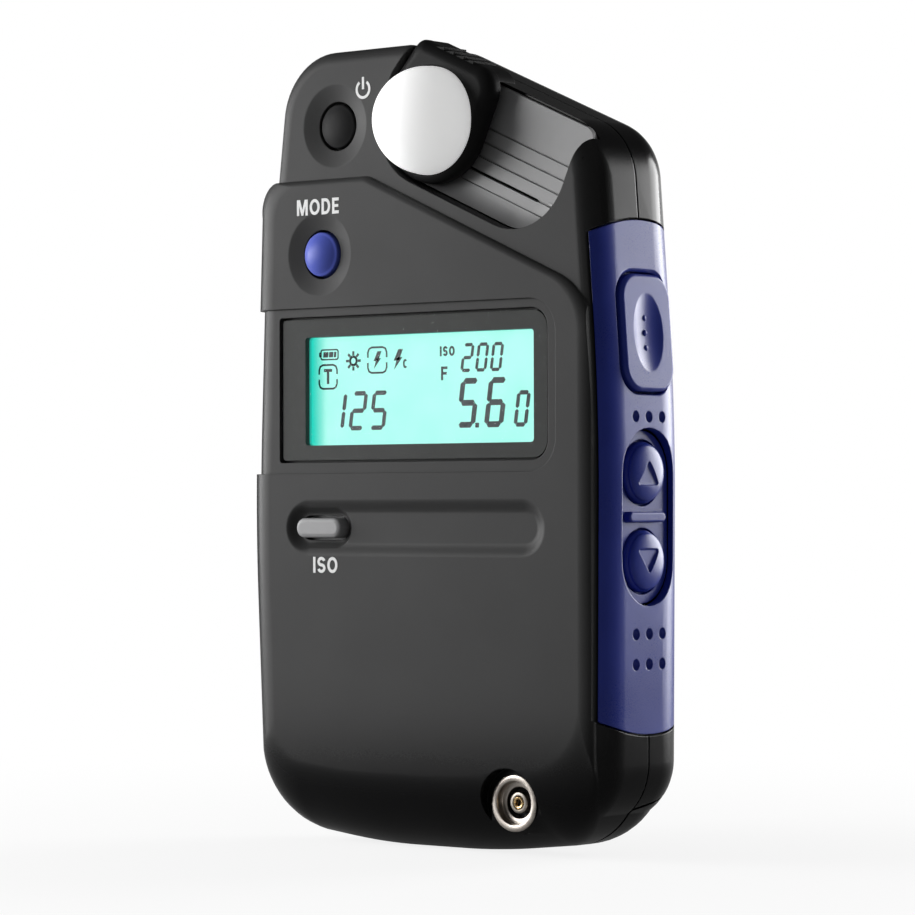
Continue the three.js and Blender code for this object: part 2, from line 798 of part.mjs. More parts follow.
function windowCuts() {
  const bandShape = oblong(-panelLeft - overrun, bandRight, bandFoot, bandTop, bandRadius);
  const band = solid(frontPlate(bandShape, panelFront - overrun, 0));
  const inner = caseBody(panelCorners, panelFront, caseBackDepth, () => bandSideDepth, bandDepth);
  const pane = oblong(windowLeft - gap, windowRight + gap, windowFoot - gap, windowTop + gap, windowRadius);
  const view = oblong(viewLeft, viewRight, viewFoot, viewTop, windowCornerRadius);
  return [
    cut(band, inner),
    solid(frontPlate(pane, panelFront - overrun, windowBack)),
    solid(frontPlate(view, panelFront, boardFace)),
  ];
}

function atSocket(radius, from, to, steps = roundSteps) {
  return solid(facingFront(disc(radius, from, to, steps), socketX, socketHeight));
}

function socketRecess() {
  return [
    atSocket(socketRecessRadius, socketFace, panelFrontDepth + overrun, fineSteps),
    atSocket(socketBarrelRadius + screwHoleGap, 0, panelFrontDepth),
    atSocket(socketNutRadius + gap, 0, socketFace - socketFlangeRadius / 2),
  ];
}

function socketBoss() {
  return atSocket(socketRecessRadius + wall / 2, socketFace - socketFlangeRadius / 2, panelFrontDepth);
}

function strapBlock() {
  const x = -coreLeft + strapPinInset + strapPinRadius * 2;
  const reach = strapPocketHalf + strapPinSeat;
  const block = disc(strapPocketRadius + wall, -reach, reach).rotateX(Math.PI / 2);
  return solid(block.translate(x, strapPinDepth, strapPocketHeight)).intersect(outerBody);
}

function strapPocket() {
  const x = -coreLeft + strapPinInset + strapPinRadius * 2;
  const reach = strapPocketHalf + strapPinSeat;
  const pocket = disc(strapPocketRadius, -strapPocketHalf, strapPocketHalf);
  const bore = disc(strapPinRadius, -reach, reach, smallSteps);
  return [pocket, bore].map((tool) => (
    solid(tool.rotateX(Math.PI / 2).translate(x, strapPinDepth, strapPocketHeight))
  ));
}

// Openings for the side keys: slots in the grip, seats and stem holes in the case
function measureSlot(spread) {
  const outline = upright(
    measureKeyHalfWidth + spread,
    measureKeyHalfHeight + spread,
    measureKeyRadius + spread,
  );
  return onSide(sidePlate(outline, -gripThickness - overrun, overrun), measureKeyHeight);
}

function measureBevel() {
  const rings = [-screwHoleGap, overrun].map((rise) => upright(
    measureKeyHalfWidth + runningGap + rise,
    measureKeyHalfHeight + runningGap + rise,
    measureKeyRadius + runningGap + rise,
  ).map((point) => new THREE.Vector3(point.x, -rise, point.y)));
  const turn = new THREE.Matrix4().makeRotationZ(Math.PI / 2);
  const depth = overrun / 2;
  return onSide(loft(rings.reverse()).applyMatrix4(turn).translate(-depth, 0, 0), measureKeyHeight);
}

const arrowMiddle = (upKeyHeight + downKeyHeight) / 2;
const arrowHalf = (upKeyHeight - downKeyHeight) / 2 + keySlotHalfWidth + runningGap;

function arrowSlot(spread, left, right) {
  const half = keySlotHalfWidth + runningGap + spread;
  return onSide(sidePlate(upright(half, arrowHalf + spread, half, edgeSteps * 2), left, right), arrowMiddle);
}

function sideKeyCuts() {
  const seat = -gripThickness - gap - keySeatDepth;
  const measureSeat = upright(
    measureKeyHalfWidth + keyFlange + runningGap,
    measureKeyHalfHeight + keyFlange + runningGap,
    measureKeyRadius,
  );
  const stemReach = -sideWall - overrun * 2;
  const stemHole = () => facingRight(disc(keyStemRadius + runningGap, stemReach, 0, smallSteps));
  const stems = [measureKeyHeight, upKeyHeight, downKeyHeight].map((height) => (
    solid(onSide(stemHole(), height))
  ));
  return [
    solid(onSide(sidePlate(measureSeat, seat, 0), measureKeyHeight)),
    solid(arrowSlot(keyFlange - runningGap, seat, 0)),
    ...stems,
  ];
}

// Screw bosses and holes
const rearBossRadius = screwHeadRadius + screwHoleGap + bossWall;
const frontBossRadius = screwShankRadius + screwHoleGap + bossWall;
const screwSeat = caseBackDepth - screwHeadSink - screwHeadThickness;

function bosses(radius, front, back) {
  return screwPlaces.map(({ x, z }) => solid(facingFront(disc(radius, -back, -front, smallSteps), x, z)));
}

function trackBoss() {
  const boss = solid(onSlope(frontPlate(trackOutline(trackSideWall), coreFront, floorBack)));
  return boss.intersect(outerBody);
}

function gripPocket() {
  return gripZone(gripThickness + gap, gap);
}

const seamBox = (front, back) => solid(frontPlate(
  oblong(-caseTop, caseTop, -overrun, caseTop + overrun, 0),
  front,
  back,
));

function buildFrontShell() {
  const half = outerBody.intersect(seamBox(panelFront - overrun, -screwHoleGap));
  const shell = joined(
    cut(half, cavity),
    trackBoss(),
    socketBoss().intersect(half),
    ...bosses(frontBossRadius, cavityFront - screwHoleGap, -screwHoleGap),
  );
  const body = cut(
    shell,
    trackPocket(),
    bladeSlot(trackFloor - overrun, floorBack + overrun),
    sensorBore(sensorWindowRadius, trackFloor - overrun, floorBack - slidePlateThickness / 2),
    sensorBore(sensorWindowRadius - wall / 2, trackFloor - overrun, floorBack + overrun),
    keyDish(powerKeyX, powerKeyHeight, coreFrontDepth),
    keyDish(modeKeyX, modeKeyHeight, panelFrontDepth),
    keyHole(powerKeyX, powerKeyHeight),
    keyHole(modeKeyX, modeKeyHeight),
    channelCut(),
    solid(frontPlate(isoOutline(runningGap), panelFront - overrun, boardFace)),
    ...windowCuts(),
    ...socketRecess(),
    gripPocket(),
    ...sideKeyCuts(),
    ...bosses(screwShankRadius, screwSeat + screwHeadThickness - screwLength - gap, overrun),
  );
  return piece('front_shell', body, finishes.shell);
}

function isoOutline(spread) {
  return oblong(
    isoKeyX - isoKeyHalfLength - spread,
    isoKeyX + isoKeyHalfLength + spread,
    isoKeyHeight - isoKeyHalfWidth - spread,
    isoKeyHeight + isoKeyHalfWidth + spread,
    isoKeyHalfWidth + spread,
  );
}

function buildRearShell() {
  const half = outerBody.intersect(seamBox(screwHoleGap, caseBackDepth + overrun));
  const border = oblong(
    doorLeft - bayBorder,
    doorRight + bayBorder,
    creaseFront,
    doorTop + bayBorder,
    doorRadius,
  );
  const surround = solid(frontPlate(border, caseBackDepth - bayDepth, caseBackDepth)).intersect(half);
  const shell = joined(
    cut(half, cavity),
    surround,
    strapBlock(),
    ...bosses(rearBossRadius, screwHoleGap, caseBackDepth - wall).map((boss) => boss.intersect(half)),
  );
  const bay = oblong(batteryLeft - gap, batteryRight + gap, bayFoot, bayTop, leastRound, 1);
  const body = cut(
    shell,
    doorPlate(gap),
    doorRails(gap),
    creaseZone(gap),
    solid(frontPlate(bay, 0, caseBackDepth)),
    gripPocket(),
    ...sideKeyCuts(),
    ...strapPocket(),
    ...bosses(screwShankRadius + screwHoleGap, 0, caseBackDepth),
    ...bosses(screwHeadRadius + screwHoleGap, screwSeat, caseBackDepth + overrun),
  );
  return piece('rear_shell', body, finishes.shell);
}

function buildSideGrip() {
  const upperRow = (measureKeyHeight - measureKeyHalfHeight + upKeyHeight + arrowKeyRadius) / 2;
  const rows = [upperRow, downKeyHeight - dimpleDrop, downKeyHeight - dimpleDrop - dimpleRowPitch];
  const dimples = rows.flatMap((height) => [-1, 0, 1].map((place) => {
    const pin = facingRight(disc(dimpleRadius, -dimpleDepth, overrun, smallSteps));
    return solid(onSide(pin.translate(0, place * dimplePitch, 0), height));
  }));
  const body = cut(
    gripZone(gripThickness, 0).intersect(coreBody),
    solid(measureSlot(runningGap)),
    solid(measureBevel()),
    solid(arrowSlot(0, -gripThickness - overrun, overrun)),
    ...dimples,
  );
  return piece('side_grip', body, finishes.gripBlue);
}

// Slider, its dome and the parts in and behind the track

function buildCarriage() {
  const top = slopeRise - runningGap;
  const outline = sliderOutline(-sliderHalfWidth, sliderHalfWidth, sliderHalfWidth, top, leastRound);
  const plate = solid(onSlope(frontPlate(outline, sliderFront, sliderBack)));
  const tabFront = sliderFront + leastRound;
  const tabBack = sliderBack + tabBackDepth;
  const tabShape = roundedPolygon(polygon(
    [-sliderHalfWidth, slopeRise + gap],
    [sliderHalfWidth, slopeRise + gap],
    [sliderHalfWidth - tabRightRun, slopeRise + gap + sliderLift],
    [-sliderHalfWidth + tabLeftRun, slopeRise + gap + sliderLift],
  ), leastRound, 2);
  const tab = solid(onSlope(frontPlate(tabShape, tabFront, tabBack)));
  const neckShape = oblong(
    -sliderHalfWidth,
    sliderHalfWidth,
    top - sliderLift,
    slopeRise + gap + leastRound,
    leastRound,
    1,
  );
  const neck = solid(onSlope(frontPlate(neckShape, sliderFront, sliderBack)));
  const teeth = Array.from({ length: toothCount }, (_, index) => {
    const left = -(toothCount * toothPitch) / 2 + index * toothPitch;
    const foot = slopeRise + sliderLift;
    const tooth = polygon([left, foot], [left + toothPitch, foot], [left + toothPitch, foot + toothHeight]);
    return solid(onSlope(frontPlate(tooth, tabFront + leastRound, tabBack - leastRound)));
  });
  const blade = solid(onSlope(frontPlate(
    oblong(
      -bladeHalfLength,
      bladeHalfLength,
      -bladeDrop - bladeThickness / 2,
      -bladeDrop + bladeThickness / 2,
      bladeThickness / 2,
      2,
    ),
    sliderBack - leastRound,
    keeperFront,
  )));
  const faceOver = coreFrontDepth + overrun;
  const tunnel = solid(facingFront(disc(lightTunnelRadius, -floorBack, faceOver), domeX, domeHeight));
  const seatFace = -sliderFront - domeSeatDepth;
  const seat = solid(facingFront(
    disc(domeRadius + screwHoleGap, seatFace, faceOver, fineSteps),
    domeX,
    domeHeight,
  ));
  const body = cut(joined(plate, tab, neck, ...teeth), tunnel, seat);
  return piece('slider_carriage', body.add(blade), finishes.blackPlastic);
}

function buildDome() {
  const base = -sliderFront - domeSeatDepth;
  const inner = domeRadius - domeWall;
  const outside = crownArc(domeRadius, base + domeSkirt, domeRadius, edgeSteps * 2);
  const inside = crownArc(inner, base + domeSkirt, inner, edgeSteps).reverse();
  const profile = [...inside, [inner, base], [domeRadius, base], ...outside];
  const shell = solid(facingFront(turned(profile, fineSteps), domeX, domeHeight));
  return piece('light_dome', shell, finishes.opal);
}

function buildKeeper() {
  const outline = upright(keeperHalfLength, keeperDepth / 2, keeperDepth / 2);
  const plate = frontPlate(outline, keeperFront, keeperFront + keeperThickness).translate(0, 0, -bladeDrop);
  return piece('slider_keeper', solid(onSlope(plate)), finishes.blackPlastic);
}

function buildSlidePlate() {
  const reach = sliderHalfWidth + runningGap - screwHoleGap;
  const top = slopeRise - leastRound;
  const outline = sliderOutline(-reach, reach + sliderTravel, reach, top, leastRound);
  const plate = solid(onSlope(frontPlate(outline, plateFront, trackFloor)));
  const grooves = Array.from({ length: grooveCount }, (_, index) => {
    const z = grooveTop - index * groovePitch;
    const groove = oblong(
      -reach - overrun,
      reach + sliderTravel + overrun,
      z - grooveWidth / 2,
      z + grooveWidth / 2,
      0,
    );
    return solid(onSlope(frontPlate(groove, plateFront - overrun, plateFront + grooveDepth)));
  });
  const body = cut(
    plate,
    ...grooves,
    bladeSlot(plateFront - overrun, trackFloor + overrun),
    sensorBore(sensorWindowRadius - wall / 2, plateFront - overrun, trackFloor + overrun),
  );
  return piece('slide_plate', body, finishes.satinGrey);
}

function buildSensorWindow() {
  const radius = sensorWindowRadius - screwHoleGap;
  const lens = disc(radius, -trackFloor - sensorWindowThickness / 2, -trackFloor);
  return piece('sensor_window', solid(facingFront(lens, domeX, domeHeight)), finishes.opal);
}

function buildPhotodiode() {
  const half = photodiodeSide / 2;
  const block = frontPlate(upright(half, half, leastRound, 1), boardFace - photodiodeThickness, boardFace);
  return piece('photodiode', solid(block.translate(domeX, 0, domeHeight)), finishes.chip);
}

// Front keys

function roundKeyProfile(face) {
  const flangeTop = -cavityFront - screwHoleGap;
  return [
    [0, -stemEnd],
    [keyStemRadius, -stemEnd],
    [keyStemRadius, flangeTop - keyFlangeThickness],
    [roundKeyRadius + keyFlange, flangeTop - keyFlangeThickness],
    [roundKeyRadius + keyFlange, flangeTop],
    [roundKeyRadius, flangeTop],
    ...crownArc(roundKeyRadius, face - keyCrown, keyCrown),
  ];
}

function buildRoundKey(name, x, z, face, finish) {
  return piece(name, solid(facingFront(turned(roundKeyProfile(face)), x, z)), finish);
}

function buildIsoKey() {
  const flangeFront = cavityFront + screwHoleGap;
  const flangeBack = flangeFront + keyFlangeThickness;
  const face = panelFront + channelDepth - isoKeyProud;
  const flange = solid(frontPlate(
    oblong(
      isoKeyX - isoKeyHalfLength - keyFlange,
      isoKeyX + isoKeyHalfLength + keyFlange,
      isoKeyHeight - isoKeyHalfWidth - keyFlange,
      isoKeyHeight + isoKeyHalfWidth + keyFlange,
      isoKeyHalfWidth + keyFlange,
    ),
    flangeFront,
    flangeBack,
  ));
  const rings = [face, face + leastRound, flangeBack].map((y, layer) => (
    isoOutline(layer === 0 ? -leastRound : 0).map((point) => new THREE.Vector3(point.x, y, point.y))
  ));
  const post = disc(keyStemRadius, -stemEnd, -flangeFront, smallSteps);
  const stem = solid(facingFront(post, isoKeyX, isoKeyHeight));
  return piece('iso_key', joined(flange, solid(loft(rings)), stem), finishes.keyGrey);
}

// Side keys: a cap over a flange that the grip holds in, and a stem to the switch
function sideKeyStem(height) {
  const foot = sidePlunger + keyTravel + screwHoleGap - sideX(height);
  return solid(onSide(facingRight(disc(keyStemRadius, foot, -gripThickness - gap, smallSteps)), height));
}

function buildMeasureKey() {
  const flangeTop = -gripThickness - screwHoleGap;
  const cap = solid(onSide(sidePlate(
    upright(measureKeyHalfWidth, measureKeyHalfHeight, measureKeyRadius),
    flangeTop - sideFlangeThickness,
    measureKeyProud,
  ), measureKeyHeight));
  const flange = solid(onSide(sidePlate(
    upright(measureKeyHalfWidth + keyFlange, measureKeyHalfHeight + keyFlange, measureKeyRadius),
    flangeTop - sideFlangeThickness,
    flangeTop,
  ), measureKeyHeight));
  const dishRadius = (measureDishHalfWidth ** 2 + measureDishDepth ** 2) / (measureDishDepth * 2);
  const bowl = new THREE.SphereGeometry(dishRadius, fineSteps, roundSteps);
  const stretch = measureDishHalfHeight / measureDishHalfWidth;
  const dish = bowl.scale(1, 1, stretch).translate(measureKeyProud + dishRadius - measureDishDepth, 0, 0);
  const pips = [-1, 0, 1].map((place) => solid(onSide(facingRight(disc(
    measurePipRadius,
    measureKeyProud - measureDishDepth - gap,
    measureKeyProud - measureDishDepth + gap,
    smallSteps,
  )), measureKeyHeight).translate(0, 0, place * measurePipPitch)));
  const body = joined(cut(joined(cap, flange), solid(onSide(dish, measureKeyHeight))), ...pips);
  return piece('measure_key', body.add(sideKeyStem(measureKeyHeight)), finishes.gripBlue);
}

function buildArrowKey(name, height, towards) {
  const flangeTop = -gripThickness - gap - flangeGap;
  const foot = flangeTop - sideFlangeThickness;
  const profile = [
    [0, foot],
    [arrowKeyRadius + keyFlange, foot],
    [arrowKeyRadius + keyFlange, flangeTop],
    [arrowKeyRadius, flangeTop],
    ...crownArc(arrowKeyRadius, -gap, arrowKeyCrown - gap),
  ];
  const cap = solid(onSide(facingRight(turned(profile)), height));
  const tip = arrowSize * 0.6;
  const arrow = solid(onSide(sidePlate(
    polygon([-arrowSize, -tip], [arrowSize, -tip], [0, tip]),
    arrowKeyCrown - gap - arrowDepth,
    arrowKeyCrown + overrun,
  ).rotateX(towards > 0 ? 0 : Math.PI), height));
  return piece(name, cut(cap, arrow).add(sideKeyStem(height)), finishes.gripBlue);
}

function buildKeyBridge() {
  const foot = -gripThickness - gap;
  const half = keySlotHalfWidth;
  const outline = upright(half, arrowHalf - runningGap, half, edgeSteps * 2);
  const plate = solid(onSide(sidePlate(outline, foot, foot + bridgePlateThickness), arrowMiddle));
  const bar = solid(onSide(sidePlate(
    upright(bridgeHalfLength, bridgeHalfHeight, bridgeHalfHeight),
    foot,
    -bridgeProud,
  ), arrowMiddle));
  const bores = [upKeyHeight, downKeyHeight].map((height) => (
    solid(onSide(facingRight(disc(arrowKeyRadius + runningGap, foot - overrun, overrun)), height))
  ));
  return piece('key_bridge', cut(plate.add(bar), ...bores), finishes.gripBlue);
}

// Display

function buildWindow() {
  const outline = oblong(windowLeft, windowRight, windowFoot, windowTop, windowRadius);
  return piece('display_window', solid(frontPlate(outline, windowFace, windowBack)), finishes.clear);
}

function displayOutline(spread, foot = viewFoot) {
  return oblong(
    viewLeft - displayMargin - spread,
    viewRight + displayMargin + spread,
    foot - displayMargin - spread,
    viewTop + displayMargin + spread,
    windowCornerRadius,
    2,
  );
}

function buildDisplay() {
  const panel = frontPlate(displayOutline(0), displayFace, displayBack);
  return piece('display_panel', solid(panel), finishes.display);
}

function buildBacklight() {
  const outline = displayOutline(0, viewFoot + connectorWidth + gap);
  const plate = frontPlate(outline, displayBack, displayBack + backlightThickness);
  return piece('backlight', solid(plate), finishes.opal);
}

function buildConnector() {
  const foot = viewFoot - displayMargin;
  const outline = oblong(viewLeft, viewRight, foot, foot + connectorWidth, leastRound, 1);
  return piece('display_connector', solid(frontPlate(outline, displayBack, boardFace)), finishes.rubber);
}

function buildDisplayFrame() {
  const outer = solid(frontPlate(displayOutline(frameRim + screwHoleGap), displayFace, boardFace));
  const inner = solid(frontPlate(displayOutline(screwHoleGap), displayFace - overrun, boardFace + overrun));
  return piece('display_frame', cut(outer, inner), finishes.blackPlastic);
}

// Circuit boards and what they carry

function buildMainBoard() {
  const right = sideBoardX - boardMargin - bossWall;
  const top = caseTop - wall - shoulderRadius;
  const slopeStart = slopeBreakX;
  const slopeEnd = top - (right - slopeStart) * Math.tan(slopeAngle);
  const left = -coreLeft + wall + boardMargin;
  const corners = polygon(
    [left, boardFoot],
    [right, boardFoot],
    [right, slopeEnd],
    [slopeStart, top],
    [left, top],
  );
  const boardBack = boardFace + boardThickness;
  const plate = solid(frontPlate(roundedPolygon(corners, boardMargin, 2), boardFace, boardBack));
  const holes = bosses(frontBossRadius + gap, boardFace - overrun, boardBack + overrun);
  return piece('main_board', cut(plate, ...holes), finishes.board);
}

function buildSideBoard() {
  const outline = oblong(-sideBoardHalfWidth, sideBoardHalfWidth, sideBoardFoot, sideBoardTop, leastRound, 1);
  const plate = sidePlate(outline, sideBoardX, sideBoardX + sideBoardThickness);
  return piece('side_board', solid(plate), finishes.board);
}

function buildBoardLink() {
  const left = sideBoardX - boardMargin - bossWall - switchThickness;
  const back = boardFace + boardThickness;
  const outline = oblong(left, sideBoardX, arrowMiddle, viewMiddle, 0);
  return piece('board_link', solid(frontPlate(outline, back, back + switchThickness)), finishes.rubber);
}

function buildFrontSwitch(name, x, z) {
  const half = switchSide / 2;
  const box = frontPlate(upright(half, half, leastRound, 1), boardFace - switchThickness, boardFace);
  const plunger = disc(switchPlungerRadius, boardFront, -plungerFace, smallSteps);
  const body = solid(box.translate(x, 0, z)).add(solid(facingFront(plunger, x, z)));
  return piece(name, body, finishes.chip);
}

function buildSideSwitch(name, height) {
  const half = switchSide / 2;
  const foot = sideBoardX + sideBoardThickness;
  const box = sidePlate(upright(half, half, leastRound, 1), foot, foot + sideSwitchThickness);
  const plunger = facingRight(disc(switchPlungerRadius, foot, sidePlunger, smallSteps));
  const body = solid(box).add(solid(plunger)).translate([0, 0, height]);
  return piece(name, body, finishes.chip);
}

// Flat components on the back of the main board
function buildChip(name, x, z, halfWidth, halfHeight) {
  const foot = boardFace + boardThickness;
  const plate = frontPlate(upright(halfWidth, halfHeight, leastRound, 1), foot, foot + chipThickness);
  return piece(name, solid(plate.translate(x, 0, z)), finishes.chip);
}

function buildCan(name, x, radius, height, finish) {
  const foot = boardFace + boardThickness;
  const can = disc(radius, -foot - height, -foot, smallSteps);
  return piece(name, solid(facingFront(can, x, isoKeyHeight)), finish);
}

// Sync socket

const socketFoot = socketFace - socketLength + socketCupDepth;

function buildSocketShell() {
  const rim = socketFace + socketCupDepth;
  const flange = socketFace + leastRound;
  const profile = [
    [socketBoreRadius, socketFoot],
    [socketBarrelRadius, socketFoot],
    [socketBarrelRadius, socketFace],
    [socketFlangeRadius, socketFace],
    [socketFlangeRadius, flange],
    [socketRimRadius, flange + leastRound],
    [socketStepRadius, rim],
    [socketBoreRadius + screwHoleGap, rim],
    [socketBoreRadius, rim - leastRound],
    [socketBoreRadius, socketFoot],
  ];
  return piece('sync_shell', solid(facingFront(turned(profile), socketX, socketHeight)), finishes.nickel);
}

function buildSocketInsulator() {
  const body = ring(socketContactRadius, socketBoreRadius, socketFoot, socketFace);
  return piece('sync_insulator', solid(facingFront(body, socketX, socketHeight)), finishes.blackPlastic);
}

function buildSocketContact() {
  const front = socketFace + socketCupDepth / 2;
  const profile = [
    [0, socketFoot - leastRound],
    [socketContactRadius, socketFoot - leastRound],
    [socketContactRadius, front],
    [socketContactBore, front],
    [socketContactBore, socketFace - socketCupDepth],
    [0, socketFace - socketCupDepth],
  ];
  return piece('sync_contact', solid(facingFront(turned(profile), socketX, socketHeight)), finishes.brass);
}

function buildSocketNut() {
  const front = socketFace - socketFlangeRadius / 2;
  const body = ring(socketBarrelRadius, socketNutRadius, front - socketNutThickness, front);
  return piece('sync_nut', solid(facingFront(body, socketX, socketHeight)), finishes.nickel);
}

// Battery bay

function alongBay(geometry) {
  return geometry.rotateZ(-Math.PI / 2).translate(0, batteryDepth, batteryHeight);
}

function buildBattery() {
  const right = batteryLeft + batteryBody;
  const profile = [
    [0, batteryLeft],
    [batteryRadius - leastRound, batteryLeft],
    [batteryRadius, batteryLeft + leastRound],
    [batteryRadius, right - leastRound],
    [batteryRadius - leastRound, right],
    [batteryNubRadius, right],
    [batteryNubRadius, batteryRight],
    [0, batteryRight],
  ];
  return piece('battery_cell', solid(alongBay(turned(profile, fineSteps))), finishes.sleeve);
}

function buildTray() {
  const half = batteryRadius + trayClearance;
  const outline = oblong(
    trayLeft - trayWall,
    trayRight + trayWall,
    batteryHeight - half - trayWall,
    batteryHeight + half + trayWall,
    trayRadius,
  );
  const block = solid(frontPlate(outline, batteryDepth - half - trayWall, trayBack));
  const room = turned([[0, trayLeft], [half, trayLeft], [half, trayRight], [0, trayRight]]);
  const mouth = oblong(trayLeft, trayRight, batteryHeight - half, batteryHeight + half, 0);
  return piece('battery_tray', cut(
    block,
    solid(alongBay(room)),
    solid(frontPlate(mouth, batteryDepth, trayBack + overrun)),
  ), finishes.blackPlastic);
}

function buildPlateContact() {
  const outline = oblong(
    batteryDepth - contactSize / 2,
    batteryDepth + contactSize / 2 - screwHoleGap,
    batteryHeight - contactSize / 2,
    batteryHeight + contactSize / 2,
    leastRound,
    2,
  );
  return piece('battery_plate', solid(sidePlate(outline, batteryRight, trayRight)), finishes.nickel);
}

// Battery spring: one conical coil from the wall of the tray to the flat end of the cell
class ConeCurve extends THREE.Curve {
  getPoint(share) {
    const angle = share * springTurns * Math.PI * 2;
    const radius = THREE.MathUtils.lerp(springFootRadius, springHeadRadius, share);
    const x = THREE.MathUtils.lerp(trayLeft + springWire, batteryLeft - springWire, share);
    return new THREE.Vector3(
      x,
      batteryDepth + radius * Math.cos(angle),
      batteryHeight + radius * Math.sin(angle),
    );
  }
}

const springStepsPerTurn = 8;
const wireSides = 5;

function buildSpring() {
  const section = Array.from({ length: wireSides }, (_, side) => {
    const angle = (Math.PI * 2 * side) / wireSides;
    return new THREE.Vector2(springWire * Math.cos(angle), springWire * Math.sin(angle));
  });
  const coil = new THREE.ExtrudeGeometry(new THREE.Shape(section), {
    extrudePath: new ConeCurve(),
    steps: springStepsPerTurn * springTurns,
    bevelEnabled: false,
  });
  return piece('battery_spring', solid(coil), finishes.nickel);
}

// Least free space between neighbouring curls, measured on points of the wire
function springClearance() {
  const curve = new ConeCurve();
  const count = springStepsPerTurn * springTurns * edgeSteps;
  const points = Array.from({ length: count + 1 }, (_, step) => curve.getPoint(step / count));
  const apart = (springStepsPerTurn * edgeSteps) / 2;
  const distances = points.flatMap((point, index) => (
    points.slice(index + apart).map((other) => point.distanceTo(other))
  ));
  return Math.min(...distances) - springWire * 2;
}

// Fasteners and the strap pin

function buildScrew({ name, x, z }) {
  const head = -screwSeat;
  const profile = [
    [0, head + screwLength - screwHeadThickness],
    [screwShankRadius, head + screwLength - screwHeadThickness],
    [screwShankRadius, head],
    [screwHeadRadius, head],
    [screwHeadRadius, head - screwHeadThickness],
    [0, head - screwHeadThickness],
  ];
  const body = solid(facingFront(turned(profile, smallSteps), x, z));
  const top = screwSeat + screwHeadThickness;
  const drive = [0, 1].map((turn) => {
    const bar = turn
      ? upright(screwDriveRadius * 2, screwDriveRadius / 2, 0)
      : upright(screwDriveRadius / 2, screwDriveRadius * 2, 0);
    return solid(frontPlate(bar, top - screwDriveDepth, top + overrun).translate(x, 0, z));
  });
  return piece(name, cut(body, ...drive), finishes.darkSteel);
}

function buildStrapPin() {
  const x = -coreLeft + strapPinInset + strapPinRadius * 2;
  const reach = strapPocketHalf + strapPinSeat;
  const pin = disc(strapPinRadius, -reach, reach, smallSteps).rotateX(Math.PI / 2);
  return piece('strap_pin', solid(pin.translate(x, strapPinDepth, strapPocketHeight)), finishes.nickel);
}

// The whole meter
const meter = new THREE.Group();
meter.name = 'light_meter';
meter.add(
  buildFrontShell(),
  buildRearShell(),
  buildSideGrip(),
  buildBatteryDoor(),
  buildWindow(),
  buildCarriage(),
  buildDome(),
  buildKeeper(),
  buildSlidePlate(),
  buildSensorWindow(),
  buildPhotodiode(),
  buildRoundKey('power_key', powerKeyX, powerKeyHeight, powerKeyFace, finishes.blackPlastic),
  buildRoundKey('mode_key', modeKeyX, modeKeyHeight, modeKeyFace, finishes.keyBlue),
  buildIsoKey(),
  buildMeasureKey(),
  buildArrowKey('up_key', upKeyHeight, 1),
  buildArrowKey('down_key', downKeyHeight, -1),
  buildKeyBridge(),
  buildDisplay(),
  buildBacklight(),
  buildConnector(),
  buildDisplayFrame(),
  buildMainBoard(),
  buildSideBoard(),
  buildBoardLink(),
  buildFrontSwitch('power_switch', powerKeyX, powerKeyHeight),
  buildFrontSwitch('mode_switch', modeKeyX, modeKeyHeight),
  buildFrontSwitch('iso_switch', isoKeyX, isoKeyHeight),
  buildSideSwitch('measure_switch', measureKeyHeight),
  buildSideSwitch('up_switch', upKeyHeight),
  buildSideSwitch('down_switch', downKeyHeight),
  buildChip('processor_chip', processorX, viewMiddle, processorHalf, processorHalf),
  buildChip('analog_chip', analogX, panelTop, analogHalfWidth, analogHalfHeight),
  buildChip('display_driver', driverX, viewMiddle, driverHalfWidth, driverHalfHeight),
  buildChip('clock_crystal', crystalX, viewTop, crystalHalfWidth, crystalHalfHeight),
  buildCan('power_coil', coilX, coilRadius, coilHeight, finishes.chip),
  buildCan('filter_capacitor', capacitorX, capacitorRadius, capacitorHeight, finishes.sleeve),
  buildSocketShell(),
  buildSocketInsulator(),
  buildSocketContact(),
  buildSocketNut(),
  buildBattery(),
  buildTray(),
  buildPlateContact(),
  buildSpring(),
  ...screwPlaces.map(buildScrew),
  buildStrapPin(),
);

// The middle of the bounding box's foot sits on the origin
const bounds = new THREE.Box3().setFromObject(meter);
const middle = bounds.getCenter(new THREE.Vector3());
meter.position.set(-middle.x, -middle.y, -bounds.min.z);
console.log(`battery spring: least gap between curls ${springClearance().toFixed(2)} mm`);

const part = new THREE.Group();
part.name = 'handheld_light_meter';
part.add(meter);

export default part;
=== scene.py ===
"""Dressed model of a handheld light meter, in the frame of its CAD parts."""

import logging
import math
from dataclasses import dataclass
from enum import Enum
from typing import Callable, Sequence, Union

import bmesh
import bpy
from mathutils import Matrix, Vector


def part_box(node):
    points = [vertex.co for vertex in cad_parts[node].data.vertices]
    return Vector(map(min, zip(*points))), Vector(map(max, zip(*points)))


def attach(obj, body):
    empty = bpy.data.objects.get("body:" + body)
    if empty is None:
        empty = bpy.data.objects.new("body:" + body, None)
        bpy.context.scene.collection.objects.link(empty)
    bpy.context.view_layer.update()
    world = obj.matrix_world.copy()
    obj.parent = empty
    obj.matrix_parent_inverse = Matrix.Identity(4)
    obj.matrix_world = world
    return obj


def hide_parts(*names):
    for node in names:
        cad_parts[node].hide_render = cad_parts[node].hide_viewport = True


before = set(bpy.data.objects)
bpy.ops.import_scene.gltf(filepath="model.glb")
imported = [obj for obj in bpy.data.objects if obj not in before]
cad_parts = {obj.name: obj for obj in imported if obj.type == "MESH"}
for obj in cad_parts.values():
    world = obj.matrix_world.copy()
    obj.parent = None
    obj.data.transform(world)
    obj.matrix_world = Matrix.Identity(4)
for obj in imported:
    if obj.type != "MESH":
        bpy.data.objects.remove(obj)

MM = 0.001
LOG = logging.getLogger("light_meter")
